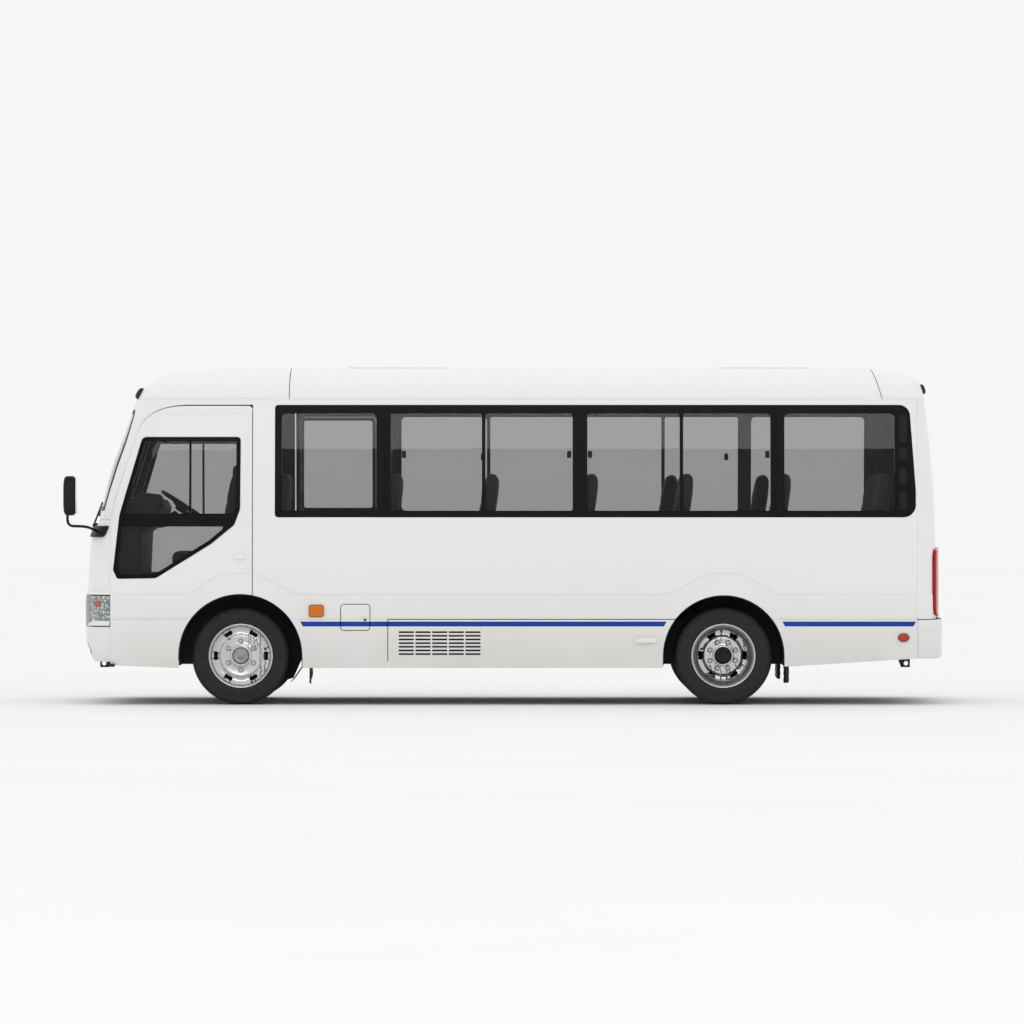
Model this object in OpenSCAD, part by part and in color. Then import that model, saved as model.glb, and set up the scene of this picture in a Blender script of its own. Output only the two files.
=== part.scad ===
// Seven-metre minibus: +X is forward, +Y is its left side, and the tyres stand on z = 0.

/* [Body] */
// Half width of the body at its widest height
body_half_width = 1042; // [1034:2:1050]
// Height of the roof's centre line
roof_z = 2749; // [2740:1:2760]
// Height of the gutter, where the side walls meet the roof
gutter_z = 2433; // [2430:1:2436]
// Height of the lower edge of the skirts
skirt_z = 300; // [290:5:310]
// Height of the cabin floor's upper face
floor_z = 790; // [785:1:800]
// Thickness of the side walls, nose and tail
wall_t = 45; // [40:1:48]
// Thickness of the roof
roof_t = 40; // [36:1:44]
/* [Doors] */
// Gap round the doors
door_gap = 9; // [8:0.5:10]
// Gap round the small flaps
flap_gap = 6; // [5:0.5:7]
// Rear edge of the driver's door
door_rear_x = 2049; // [2045:1:2055]
// Lower front edge of the driver's door
door_front_x = 3196; // [3190:1:3198]
/* [Wheels] */
// Radius of the tyres
tyre_r = 396; // [394:1:398]
// Width of one tyre
tyre_w = 205; // [200:1:208]
// Radius of the rims' flanges
rim_r = 260; // [255:1:264]
// Station of the front axle
front_axle_x = 2144; // [2135:1:2150]
// Station of the rear axle
rear_axle_x = -1772; // [-1780:1:-1765]
// Middle of a front tyre, out from the centre line
front_wheel_y = 845; // [840:1:850]
// Kingpin, out from the centre line
kingpin_y = 760; // [758:1:762]
// Middle of an outer rear tyre, out from the centre line
rear_outer_y = 862; // [858:1:866]
// Spacing of the twin rear tyres
twin_pitch = 235; // [230:1:240]
// Radius of the front wheel arches
front_arch_r = 503; // [500:1:506]
// Radius of the rear wheel arches
rear_arch_r = 493; // [490:1:496]
/* [Hidden] */

// Body surface: half widths up the side, crowned over the roof
waist_z = 900;
tumblehome = 78;
tuck_under = 20;
crown_z = 2440;
crown_power = 3.5;
// Nose and tail corners in plan, as superellipses
nose_depth = 420;
nose_power = 5;
tail_depth = 185;
tail_power = 4.5;
// Centre line of the nose and the tail, as height and station
nose_line = [[skirt_z, 3366], [443, 3398], [524, 3427], [849, 3431], [930, 3414], [1336, 3390],
    [1417, 3362], [1498, 3316], [1555, 3310], [1904, 3228], [2148, 3138], [2391, 3049], [2521, 3000],
    [2554, 2986], [2586, 2943], [2651, 2850], [2700, 2736], [2725, 2558], [2741, 2233], [2749, 1762]];
tail_line = [[skirt_z, -3519], [1336, -3517], [1742, -3500], [1985, -3483], [2391, -3439],
    [2521, -3423], [2619, -3394], [2651, -3374], [2684, -3321], [2716, -3207], [2749, -2960]];
roof_front_x = 1750;
roof_rear_x = -2990;
tail_start_x = -3338;
bumper_base_z = 376;
bumper_shift = -52;
// Levels at which the lower body's shape is taken
levels = [skirt_z, 480, 690, 900, 1200, 1417, 1520, 1800, 2100, 2300, gutter_z];
axle_z = tyre_r;

function side_half_width(z) = body_half_width - (z > waist_z
    ? tumblehome * pow((z - waist_z) / (gutter_z - waist_z), 1.6)
    : tuck_under * pow((waist_z - z) / (waist_z - skirt_z), 2));
function crown(z) = z <= crown_z ? 1
    : pow(max(0, 1 - pow(min(1, (z - crown_z) / (roof_z - crown_z)), 2)), 1 / crown_power);
function half_width(z) = side_half_width(z) * crown(z);
function nose_x(z) = lookup(z, nose_line);
function tail_x(z) = lookup(z, tail_line);
function corner(s, power) = pow(max(0, 1 - pow(min(1, max(0, s)), power)), 1 / power);

// Outlines
function unit(v) = v / norm(v);
// Moves every side of an anticlockwise outline inwards by d, or outwards where d is negative
function inset(p, d) = [for (i = [0:len(p) - 1])
    let (a = p[(i + len(p) - 1) % len(p)], b = p[i], c = p[(i + 1) % len(p)],
         e = unit(b - a), f = unit(c - b), m = [-e[1] - f[1], e[0] + f[0]])
    b + m * d / (1 + e * f)];
// Rounds the corners of an outline to one radius, or to one for each corner
function rounded(p, radii, steps = 4) = [for (i = [0:len(p) - 1])
    let (b = p[i], u = unit(p[(i + len(p) - 1) % len(p)] - b), v = unit(p[(i + 1) % len(p)] - b),
         r = is_list(radii) ? radii[i] : radii, half = acos(u * v) / 2, c = b + unit(u + v) * r / sin(half),
         start = b + u * r / tan(half) - c, end = b + v * r / tan(half) - c)
    for (k = [0:steps])
    let (mix = unit(start * (steps - k) + end * k)) c + mix * r];
function box_outline(x0, x1, z0, z1) = [[x0, z0], [x1, z0], [x1, z1], [x0, z1]];
function bend(a, b, c, steps) = [for (k = [0:steps])
    let (t = k / steps) a * (1 - t) * (1 - t) + b * 2 * t * (1 - t) + c * t * t];
function arch(x, r, from, to, steps) = [for (k = [0:steps])
    let (a = from + (to - from) * k / steps) [x + r * cos(a), axle_z + r * sin(a)]];

// Driver's door: its arch notch, its rear edge, its brow and the pillar's slope
door_notch_angle = acos((door_rear_x - front_axle_x) / front_arch_r);
door_outline = concat(
    [[front_axle_x + front_arch_r, skirt_z], [door_front_x, skirt_z + 22], [door_front_x, 1500],
     [3159, 1661]],
    bend([2975, 2225], [2890, gutter_z - door_gap], [2560, gutter_z - door_gap], 6),
    [[door_rear_x, gutter_z - door_gap]],
    arch(front_axle_x, front_arch_r, door_notch_angle, 0, 9));
door_window_outline = [[3142, 1019], [3176, 1092], [3126, 1539], [2939, 2173], [2140, 2173],
    [2144, 1587], [2192, 1457], [2379, 1303], [2826, 1024]];
door_band = [1449, 1547];
// Entrance door on the right side, notched by the front arch
entrance_x = [1040, 1766];
entrance_notch_angle = 180 - acos((front_axle_x - entrance_x[1]) / (front_arch_r + 12));
entrance_outline = concat(
    [[entrance_x[0], skirt_z], [front_axle_x - front_arch_r - 12, skirt_z]],
    arch(front_axle_x, front_arch_r + 12, 180, entrance_notch_angle, 5),
    [[entrance_x[1], gutter_z - door_gap], [entrance_x[0], gutter_z - door_gap]]);
entrance_glass = box_outline(1092, 1730, 760, 2363);
// Long band of windows on each side
function band(front_x) = rounded([[-3329, 1519], [front_x, 1519], [front_x, gutter_z - 1],
    [-3278, gutter_z - 1], [-3329, 1742]], [100, 28, 28, 90, 200]);
band_outline = band(1865);
right_band_outline = band(entrance_x[0] - 60);
band_z = [1575, 2363];
left_panes = [[1039, 1811], [187, 926], [-548, 158], [-1416, -668], [-2152, -1445], [-3159, -2265]];
right_panes = [[155, 875], [-590, 125], [-1318, -666], [-1964, -1347], [-3030, -2076]];
glass_t = 6;
glass_set = 4;
// Skirt hatch with its grille, and the fuel flap
hatch_x = [rear_axle_x + 385, 946];
hatch_top_z = 690;
hatch_angle = asin((hatch_top_z - axle_z) / rear_arch_r);
hatch_outline = concat(
    [[rear_axle_x + rear_arch_r, skirt_z], [hatch_x[1], skirt_z], [hatch_x[1], hatch_top_z]],
    arch(rear_axle_x, rear_arch_r, hatch_angle, 0, 5));
grille_x = [198, 862];
grille_z = [405, 597];
flap_x = [1096, 1328];
flap_z = [607, 813];
// Steering
steering_centre = [2625, 520, 1613];
steering_tilt = 33;
steering_r = 225;
// Seats: backs of the left rows, of the right rows, and of the bench across the tail
left_rows = [1738, 836, 50, -760, -1535, -2330];
right_rows = [50, -760, -1450, -2215];
bench_back_x = -3150;
seat_y_left = [100, 940];
seat_y_right = [-940, -500];
running_fit = 0.08;
// Towing eyes
eye_x = [3290, -3290];
eye_y = 405;
eye_z = 322;
eye_t = 26;
eye_r = 18;
pad_x = [1200, -800];
pad_z = 508;
// Head and tail lamps, windscreen and rear window
headlight_z = [637, 889];
headlight_y = 640;
windscreen_outline = rounded([[-880, 1512], [880, 1512], [822, 2397], [-822, 2397]], 70);
rear_window_outline = rounded([[-760, 1560], [760, 1560], [720, 2290], [-720, 2290]], 70);
tail_light_outline = [[-3600, 700], [-3472, 730], [-3466, 780], [-3466, 1215], [-3472, 1255], [-3600, 1285]];
// Stations at which the roof's ends are drawn
roof_nose_x = [roof_front_x, 2050, 2233, 2420, 2558, 2650, 2736, 2800, 2850, 2900, 2943, 2975, 3000, 3018,
    3030];
roof_tail_x = [-3430, -3423, -3408, -3394, -3374, -3321, -3260, -3207, -3100, roof_rear_x];
// Raised roof hatches
roof_hatches = [[479, 1283], [-2493, -1754]];

// Sweeps along the axes: the outline's first value is y and its second z, or x and z
module along_x(x0, x1) {
    translate([x0, 0, 0]) rotate([90, 0, 90]) linear_extrude(x1 - x0) children();
}
module along_y(y0, y1) {
    translate([0, y1, 0]) rotate([90, 0, 0]) linear_extrude(y1 - y0) children();
}
module block(low, high) {
    translate(low) cube(high - low);
}
module rod(a, b, r) {
    d = b - a;
    translate(a) rotate([0, acos(d[2] / norm(d)), atan2(d[1], d[0])]) cylinder(h = norm(d), r = r, $fn = 24);
}
module both_sides() {
    children();
    mirror([0, 1, 0]) children();
}
// Joins closed sections of one even count of points, each an outward run and the way back
module loft(sections) {
    n = len(sections[0]);
    last = (len(sections) - 1) * n;
    bands = [0:len(sections) - 2];
    polyhedron(points = [for (s = sections) each s], faces = concat(
        [for (j = bands, i = [0:n - 1]) let (k = (i + 1) % n) [j * n + i, (j + 1) * n + k, j * n + k]],
        [for (j = bands, i = [0:n - 1]) let (k = (i + 1) % n) [j * n + i, (j + 1) * n + i, (j + 1) * n + k]],
        [for (i = [0:n / 2 - 2]) each [[i, i + 1, n - 2 - i], [i, n - 2 - i, n - 1 - i]]],
        [for (i = [0:n / 2 - 2]) each [[last + i, last + n - 2 - i, last + i + 1],
                                       [last + i, last + n - 1 - i, last + n - 2 - i]]]));
}
// Points of the nose and tail at plan angle a, 0 on the left and 180 on the right, set in by d
function nose_point(a, z, d) = [
    nose_x(z) - d - nose_depth * (1 - pow(sin(a), 2 / nose_power)),
    sign(cos(a)) * (half_width(z) - d) * pow(abs(cos(a)), 2 / nose_power), z];
function tail_point(a, z, d) = [
    tail_x(z) + d + tail_depth * (1 - pow(sin(a), 2 / tail_power)),
    -sign(cos(a)) * (half_width(z) - d) * pow(abs(cos(a)), 2 / tail_power), z];
function wall_point(x, y_sign, z, d) = [x, y_sign * (half_width(z) - d), z];
function there_and_back(z, outer, inner) = concat(outer, [for (i = [len(inner) - 1:-1:0]) inner[i]]);
// Skin of the nose between two plan angles and through the given heights
module nose_skin(zs, outer, inner, from = 0, to = 180, step = 7.5) {
    loft([for (a = [from:step:to + 0.01]) there_and_back(zs,
        [for (z = zs) nose_point(a, z, outer)], [for (z = zs) nose_point(a, z, inner)])]);
}
module tail_skin(zs, outer, inner, from = 0, to = 180, step = 9) {
    loft([for (a = [from:step:to + 0.01]) there_and_back(zs,
        [for (z = zs) tail_point(a, z, outer)], [for (z = zs) tail_point(a, z, inner)])]);
}
// Skin of the left front side, from the straight wall round to the nose's corner
module front_side_skin(zs, outer, inner, start_x) {
    loft(concat(
        [there_and_back(zs, [for (z = zs) wall_point(start_x, 1, z, outer)],
                        [for (z = zs) wall_point(start_x, 1, z, inner)])],
        [for (a = [0:7:35]) there_and_back(zs, [for (z = zs) nose_point(a, z, outer)],
                                           [for (z = zs) nose_point(a, z, inner)])]));
}
// Cross-section of the left wall, between two depths below the outer surface
module wall_section(zs, outer, inner) {
    polygon(there_and_back(zs, [for (z = zs) [half_width(z) - outer, z]],
                           [for (z = zs) [half_width(z) - inner, z]]));
}
function clip_levels(z0, z1) = concat([z0], [for (z = levels) if (z > z0 + 1 && z < z1 - 1) z], [z1]);

// Roof arches at station x: heights rise to the centre line there, and d sets the arch in
function nose_top(x) = x < nose_line[len(nose_line) - 1][1] ? roof_z
    : lookup(-x, [for (p = nose_line) if (p[0] > 2390) [-p[1], p[0]]]);
function tail_top(x) = x > tail_line[len(tail_line) - 1][1] ? roof_z
    : lookup(x, [for (p = tail_line) if (p[0] > 2390) [p[1], p[0]]]);
function arch_width(x, z) = half_width(z)
    * corner((x - nose_x(z) + nose_depth) / nose_depth, nose_power)
    * corner((tail_x(z) + tail_depth - x) / tail_depth, tail_power);
arch_angles = [0, 12, 24, 36, 48, 58, 66, 73, 79, 84, 88];
function arch_half(x, top, d) = [for (a = arch_angles)
    let (z = gutter_z + (top - gutter_z) * sin(a), y = arch_width(x, z))
    [y * (1 - d / body_half_width), gutter_z + (z - gutter_z) * (1 - d / (roof_z - gutter_z))]];
function arch_loop(half) = concat(half, [for (i = [len(half) - 1:-1:0]) [-half[i][0], half[i][1]]]);
module roof_cap(stations, shift, d, drop) {
    loft([for (x = stations)
        let (top = max(gutter_z + 4, x > 0 ? nose_top(x) : tail_top(x)))
        [for (p = arch_loop(arch_half(x, top, d))) [x + shift, p[0], p[1] - drop]]]);
}

// Wheel arches cut through a wall from y0 to y1
module arch_cutter(x, r, y0, y1) {
    translate([x, y1, axle_z]) rotate([90, 0, 0]) cylinder(h = y1 - y0, r = r);
    block([x - r, y0, 0], [x + r, y1, axle_z]);
}

module chassis_frame() {
    color("dimgray") {
        both_sides() block([-3300, 380, 520], [3150, 430, 680]);
        for (x = [3050, 1700, 900, 0, -1150, -2350, -3200])
            block([x - 30, -380, 560], [x + 30, 380, 640]);
        both_sides() for (x = pad_x)
            block([x - 60, 380, pad_z], [x + 60, 430, 521]);
        towing_eye([[3080, 530], [3150, 530], [3322, 360], [3322, 290], [3250, 290], [3080, 470]], eye_x[0]);
        towing_eye([[-3230, 530], [-3300, 530], [-3322, 420], [-3322, 290], [-3250, 290], [-3180, 470]],
            eye_x[1]);
    }
}
// Outriggers that lie on the rails and carry the floor
module cross_members() {
    color("dimgray") for (x = [3060, 1700, 1000, 250, -450, -1150, -2400, -2850, -3250])
        block([x - 25, -960, 680], [x + 25, 960, floor_z - 40]);
}
// Plate under the left rail, with a hole for a towing pin
module towing_eye(outline, x) {
    along_y(eye_y - eye_t / 2, eye_y + eye_t / 2) difference() {
        polygon(outline);
        translate([x, eye_z]) circle(r = eye_r, $fn = 48);
    }
}
module engine() {
    color("gray") block([2110, -270, 450], [2920, 270, 980]);
}
module fuel_tank() {
    color("darkslategray") along_x(560, 1480)
        polygon(rounded(box_outline(480, 900, 370, 670), 50));
}
module exhaust() {
    color("silver") {
        rod([2080, -330, 488], [-3260, -330, 488], 22);
        rod([650, -330, 440], [-50, -330, 440], 72);
        rod([-3240, -330, 488], [-3240, -330, 350], 22);
    }
}
module propeller_shaft() {
    color("dimgray") {
        rod([2109, 0, 470], [-1628, 0, 430], 38);
        rod([300, 0, 450.7], [240, 0, 450], 60);
    }
}
module front_axle() {
    color("dimgray") {
        difference() {
            union() {
                block([front_axle_x - 35, -kingpin_y, 362], [front_axle_x + 35, kingpin_y, 430]);
                both_sides() translate([front_axle_x, kingpin_y, 356]) cylinder(h = 80, r = 42);
            }
            both_sides() translate([front_axle_x, kingpin_y, 300])
                cylinder(h = 200, r = 20 + running_fit);
        }
    }
}
module rear_axle() {
    color("dimgray") {
        translate([rear_axle_x, 600, axle_z]) rotate([90, 0, 0]) cylinder(h = 1200, r = 60);
        translate([rear_axle_x, 0, axle_z]) sphere(r = 140);
        translate([rear_axle_x, 900, axle_z]) rotate([90, 0, 0]) cylinder(h = 1800, r = 45);
    }
}
// One leaf spring: bowed down at the axle, thin at its eyes
module leaf_spring(x, base_z, rise, length) {
    steps = 12;
    along_y(396, 456) polygon(concat(
        [for (k = [-steps:steps]) let (t = k / steps) [x + length / 2 * t, base_z + rise * t * t]],
        [for (k = [steps:-1:-steps]) let (t = k / steps)
            [x + length / 2 * t, base_z + 14 + 24 * (1 - t * t) + rise * t * t]]));
}
module leaf_springs() {
    color("dimgray") both_sides() {
        leaf_spring(front_axle_x, 431, 70, 1180);
        leaf_spring(rear_axle_x, 457, 42, 1300);
    }
}
// Wheel house over a wheel: a half drum with a flat inner wall
module wheel_house(x, r) {
    intersection() {
        difference() {
            translate([x, 985, axle_z]) rotate([90, 0, 0]) cylinder(h = 985 - 488, r = r);
            translate([x, 990, axle_z]) rotate([90, 0, 0]) cylinder(h = 990 - 498, r = r - 10);
        }
        block([x - 600, 0, floor_z - 40], [x + 600, 1000, 1500]);
    }
}
module floor() {
    color("slategray") difference() {
        block([-3370, -985, floor_z - 40], [3170, 985, floor_z]);
        both_sides() {
            arch_cutter(front_axle_x, front_arch_r + 0.5, 487.5, 1000);
            arch_cutter(rear_axle_x, rear_arch_r + 0.5, 487.5, 1000);
            rotate([0, 0, -32]) block([2720, 880 + 1460, 700], [3900, 1500 + 1460, 900]);
        }
        block([2039.5, -330.5, 700], [2970.5, 330.5, 900]);
        block([entrance_x[0] - 10, -1000, 700], [1622, -640, 900]);
    }
}
module wheel_houses() {
    color("slategray") both_sides() {
        wheel_house(front_axle_x, front_arch_r);
        wheel_house(rear_axle_x, rear_arch_r);
    }
}
module engine_cover() {
    color("slategray") difference() {
        block([2040, -330, floor_z - 40], [2970, 330, 1060]);
        block([2070, -300, 700], [2940, 300, 1030]);
    }
}
module entrance_steps() {
    color("darkslategray") {
        along_x(entrance_x[0] + 16, 1600) polygon([[-975, 380], [-820, 380], [-820, 585], [-660, 585],
            [-660, floor_z - 2], [-642, floor_z - 2], [-642, 567], [-802, 567], [-802, 362], [-975, 362]]);
        for (x = [entrance_x[0], 1600])
            block([x, -975, 362], [x + 16, -642, floor_z - 2]);
    }
}
module side_wall_blank(x0, x1) {
    difference() {
        along_x(x0, x1) wall_section(levels, 0, wall_t);
        along_y(900, 1100) polygon([[tail_start_x - 50, skirt_z - 10], [rear_axle_x - 300, skirt_z - 10],
            [rear_axle_x - 300, skirt_z + 8], [tail_start_x - 50, bumper_base_z]]);
    }
}
module left_side_wall() {
    color("white") difference() {
        side_wall_blank(tail_start_x, door_rear_x - door_gap);
        along_y(900, 1100) polygon(inset(band_outline, -0.5));
        arch_cutter(front_axle_x, front_arch_r, 900, 1100);
        arch_cutter(rear_axle_x, rear_arch_r, 900, 1100);
        block([hatch_x[0] - 10, 900, 0], [hatch_x[1] + flap_gap, 1100, hatch_top_z + flap_gap]);
        along_y(900, 1100) polygon(rounded(box_outline(flap_x[0] - flap_gap, flap_x[1] + flap_gap,
            flap_z[0] - flap_gap, flap_z[1] + flap_gap), 25));
    }
}
module right_side_wall() {
    color("white") mirror([0, 1, 0]) difference() {
        side_wall_blank(tail_start_x, door_rear_x - 2);
        along_y(900, 1100) polygon(inset(right_band_outline, -0.5));
        arch_cutter(front_axle_x, front_arch_r, 900, 1100);
        arch_cutter(rear_axle_x, rear_arch_r, 900, 1100);
        along_y(900, 1100) polygon(inset(entrance_outline, -door_gap));
        block([entrance_x[0] - door_gap - 3, 900, 0], [entrance_x[0] + 50, 1100, gutter_z]);
        block([entrance_x[0] - door_gap, 900, 0], [front_axle_x - front_arch_r, 1100, skirt_z + 1]);
    }
}
module door_blank() {
    intersection() {
        front_side_skin(levels, 0, wall_t, door_rear_x - 40);
        along_y(700, 1100) polygon(door_outline);
    }
}
// Two window openings of the front doors, as prisms from y0 to y1
module door_openings(y0, y1, margin) {
    difference() {
        along_y(y0, y1) polygon(inset(door_window_outline, margin));
        block([2000, y0 - 1, door_band[0] - (margin - 30)], [3300, y1 + 1, door_band[1] + (margin - 30)]);
    }
}
module door_panes(outer, inner, margin) {
    intersection() {
        front_side_skin([950, 1200, 1417, 1520, 1800, 2100, 2250], outer, inner, door_rear_x);
        door_openings(700, 1100, margin);
    }
}
module driver_door() {
    color("white") difference() {
        door_blank();
        door_openings(700, 1100, 30);
    }
}
module driver_door_glass() {
    color("black", 0.5) door_panes(glass_set, glass_set + glass_t, 30.5);
}
module right_front_panel() {
    color("white") mirror([0, 1, 0]) driver_door();
}
module nose_cut() {
    block([2000, -1200, 0], [door_front_x + door_gap, 1200, 3000]);
}
module front_bumper() {
    color("white") difference() {
        nose_skin([349, 443, 524, 596], 0, wall_t, from = 7.5, to = 172.5);
        nose_cut();
    }
}
module front_panel() {
    color("white") difference() {
        nose_skin([600, 849, 930, 1336, 1417, 1498], 0, wall_t, from = 7.5, to = 172.5);
        nose_cut();
        both_sides() block([3000, headlight_y, headlight_z[0]], [3500, 1200, headlight_z[1]]);
    }
}
module headlights() {
    color("lightgray") both_sides() difference() {
        nose_skin([headlight_z[0] + 2, 849, headlight_z[1] - 2], 0, wall_t + 10, from = 7.5, to = 60);
        nose_cut();
        block([3000, -100, 0], [3500, headlight_y + 2, 1500]);
    }
}
module windscreen_pillars() {
    color("white") difference() {
        nose_skin([1500, 1555, 1904, 2148, 2391, gutter_z - 1], 0, wall_t, from = 0);
        along_x(2600, 3600) polygon(windscreen_outline);
        both_sides() along_y(700, 1200) polygon(inset(door_outline, -door_gap));
        block([2000, -1200, 0], [2640, 1200, 3000]);
    }
}
module windscreen() {
    color("black", 0.4) intersection() {
        nose_skin([1506, 1555, 1904, 2148, 2391, 2400], 2, 2 + glass_t);
        along_x(2600, 3600) polygon(inset(windscreen_outline, 1));
    }
}
module roof_panel() {
    outer = arch_loop(arch_half(0, roof_z, 0));
    inner = arch_loop(arch_half(0, roof_z, roof_t));
    color("white") {
        along_x(roof_rear_x, roof_front_x)
            polygon(concat(outer, [for (i = [len(inner) - 1:-1:0]) inner[i]]));
        for (x = roof_hatches)
            block([x[0], -380, roof_z - 30], [x[1], 380, roof_z + 9]);
    }
}
module roof_front_cap() {
    color("white") difference() {
        roof_cap(roof_nose_x, 0, 0, 0);
        roof_cap(roof_nose_x, -roof_t, roof_t, 1);
    }
}
module roof_rear_cap() {
    color("white") difference() {
        roof_cap(roof_tail_x, 0, 0, 0);
        roof_cap(roof_tail_x, roof_t, roof_t, 1);
    }
}
module rear_panel() {
    color("white") difference() {
        tail_skin([skirt_z + 396, 1336, 1742, 1985, 2391, gutter_z - 1], 0, wall_t);
        block([tail_start_x, -1200, 0], [0, 1200, 3000]);
        along_x(-3700, -3300) polygon(rear_window_outline);
        both_sides() along_y(840, 1100) polygon(inset(tail_light_outline, -2));
    }
}
module tail_lights() {
    color("red") both_sides() {
        intersection() {
            tail_skin([699, 1290], -8, wall_t - 5, from = 90, to = 180);
            along_y(844, 1100) polygon(tail_light_outline);
        }
        translate([-3228, 1049, 545]) rotate([90, 0, 0]) cylinder(h = 12.4, r = 32);
    }
}
module rear_bumper() {
    color("white") translate([bumper_shift, 0, 0]) difference() {
        tail_skin([bumper_base_z, 480, 690], 0, wall_t, from = 0);
        block([-3400, -900, 300], [-3290, 900, 800]);
    }
}
module pane_row(panes) {
    for (p = panes)
        along_x(p[0] + 0.5, p[1] - 0.5)
            wall_section(clip_levels(band_z[0] + 0.5, band_z[1] - 0.5), glass_set, glass_set + glass_t);
}
module windows() {
    color("black", 0.5) {
        pane_row(left_panes);
        mirror([0, 1, 0]) pane_row(right_panes);
        mirror([0, 1, 0]) door_panes(glass_set, glass_set + glass_t, 30.5);
        intersection() {
            tail_skin([1500, 1742, 1985, 2350], glass_set, glass_set + glass_t, from = 27, to = 153);
            along_x(-3700, -3300) polygon(inset(rear_window_outline, 1));
        }
    }
}
module window_band(outline, panes) {
    difference() {
        intersection() {
            along_x(-3335, 1900) wall_section(clip_levels(1500, gutter_z), 1, wall_t - 4);
            along_y(900, 1100) polygon(outline);
        }
        for (p = panes)
            block([p[0], 900, band_z[0]], [p[1], 1100, band_z[1]]);
    }
}
module window_frames() {
    color("black") {
        window_band(band_outline, left_panes);
        mirror([0, 1, 0]) window_band(right_band_outline, right_panes);
    }
}
module marker_lamps() {
    color("orange") {
        block([1468, 1042.4, 715], [1588, 1056, 808]);
        block([850, -1056, 715], [970, -1042.4, 808]);
        both_sides() {
            translate([2960, 560, 2520]) sphere(r = 44);
            translate([-3410, 640, 2566]) sphere(r = 36);
        }
    }
}
// Head, flat arm and post of the left mirror, its arm drawn in plan, and the smaller right one at the pillar
module mirrors() {
    color("black") {
        translate([0, 0, 1425]) linear_extrude(27) polygon([[3240, 1002], [3330, 1002], [3330, 1022],
            [3520, 1124], [3520, 1152], [3494, 1152], [3290, 1044], [3240, 1044]]);
        block([3496, 1126, 1430], [3518, 1150, 1600]);
        along_y(1050, 1225) polygon(box_outline(3462, 3570, 1534, 1854));
        translate([0, 0, 1640]) linear_extrude(22)
            polygon([[3192, -984], [3170, -984], [3131, -1160], [3153, -1160]]);
        block([3134, -1158, 1645], [3150, -1142, 1800]);
        along_y(-1225, -1080) polygon(box_outline(3112, 3172, 1750, 1965));
    }
}
module wipers() {
    color("black") for (y = [-60, 640]) {
        rod([3372, y, 1440], [3358, y - 40, 1500], 12);
        rod([3358, y - 40, 1500], [3308, y - 420, 1640], 8);
        rod([3337, y - 80, 1530], [3316, y - 690, 1620], 7);
    }
}
module mud_flaps() {
    color("black") {
        block([1575, 740, 160], [1587, 950, floor_z - 42]);
        block([1622, -950, 160], [1634, -740, floor_z - 42]);
        both_sides() block([-2304, 524, 154], [-2292, 966, floor_z - 42]);
    }
}
module dashboard() {
    color("dimgray") {
        along_y(-820, 820) polygon([[2990, floor_z], [3150, floor_z], [3205, 1200], [3215, 1480],
            [3080, 1680], [2830, 1660], [2800, 1600], [2830, 1470], [2960, 1400]]);
        rod([steering_centre[0] + 250 * sin(steering_tilt), steering_centre[1],
             steering_centre[2] - 250 * cos(steering_tilt)],
            [steering_centre[0] + 75 * sin(steering_tilt), steering_centre[1],
             steering_centre[2] - 75 * cos(steering_tilt)], 45);
        rod([2840, steering_centre[1], 1500], [2745, steering_centre[1], 1440], 60);
    }
}
// One seat row, its back at station x: cushion of the given depth, backrest, and a plinth from low to high
module seat(x, y0, y1, depth, low, high) {
    translate([x, 0, 0]) {
        along_y(y0, y1) polygon([[150, 1100], [depth - 10, 1130], [depth, 1200], [depth - 40, 1232],
            [180, 1215], [80, 1860], [50, 1895], [5, 1880], [0, 1840]]);
        block(low, high);
    }
}
module driver_seat() {
    color("dimgray") {
        seat(2130, 290, 750, 600, [230, 345, floor_z], [480, 480, 1108]);
        along_y(400, 640) polygon([[2140, 1900], [2150, 1950], [2200, 1950], [2210, 1900]]);
        block([2160, 480, 1880], [2185, 560, 1905]);
    }
}
module passenger_seats() {
    color("dimgray") {
        for (x = left_rows)
            if (x == left_rows[0])
                seat(x, seat_y_left[0], seat_y_left[1], 330, [60, 130, floor_z], [200, 480, 1160]);
            else
                seat(x, seat_y_left[0], seat_y_left[1], 600, [230, 130, floor_z], [480, 480, 1108]);
        for (x = right_rows)
            seat(x, seat_y_right[0], seat_y_right[1], 600,
                [230, -880, x == right_rows[3] ? 905 : floor_z], [480, -560, 1108]);
        seat(bench_back_x, -940, 940, 600, [230, -880, floor_z], [480, 880, 1108]);
    }
}
module grab_rails() {
    color("silver") {
        for (p = [[1700, -570, 2674], [960, -470, 2688], [1980, 60, 2697]])
            rod([p[0], p[1], floor_z + 0.5], p, 16);
    }
}
module entrance_door() {
    color("white") mirror([0, 1, 0]) difference() {
        intersection() {
            along_x(entrance_x[0], entrance_x[1]) wall_section(levels, 0, wall_t);
            along_y(900, 1100) polygon(entrance_outline);
        }
        along_y(900, 1100) polygon(rounded(entrance_glass, 30));
    }
}
module entrance_door_glass() {
    color("black", 0.5) mirror([0, 1, 0]) intersection() {
        along_x(entrance_x[0], entrance_x[1])
            wall_section(clip_levels(700, 2400), glass_set, glass_set + glass_t);
        along_y(900, 1100) polygon(rounded(inset(entrance_glass, 0.5), 30));
    }
}
module side_hatch() {
    color("white") {
        difference() {
            intersection() {
                along_x(hatch_x[0] - 10, hatch_x[1]) wall_section([skirt_z, 480, hatch_top_z], 0, 30);
                along_y(900, 1100) polygon(hatch_outline);
            }
            for (col = [0:4], row = [0:6])
                block([grille_x[0] + col * 135, 900, grille_z[0] + row * 29.6],
                      [grille_x[0] + col * 135 + 122, 1100, grille_z[0] + row * 29.6 + 14]);
        }
        along_x(-1223, -1058) polygon(rounded(box_outline(1030, 1052, 499, 548), 8));
    }
}
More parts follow.
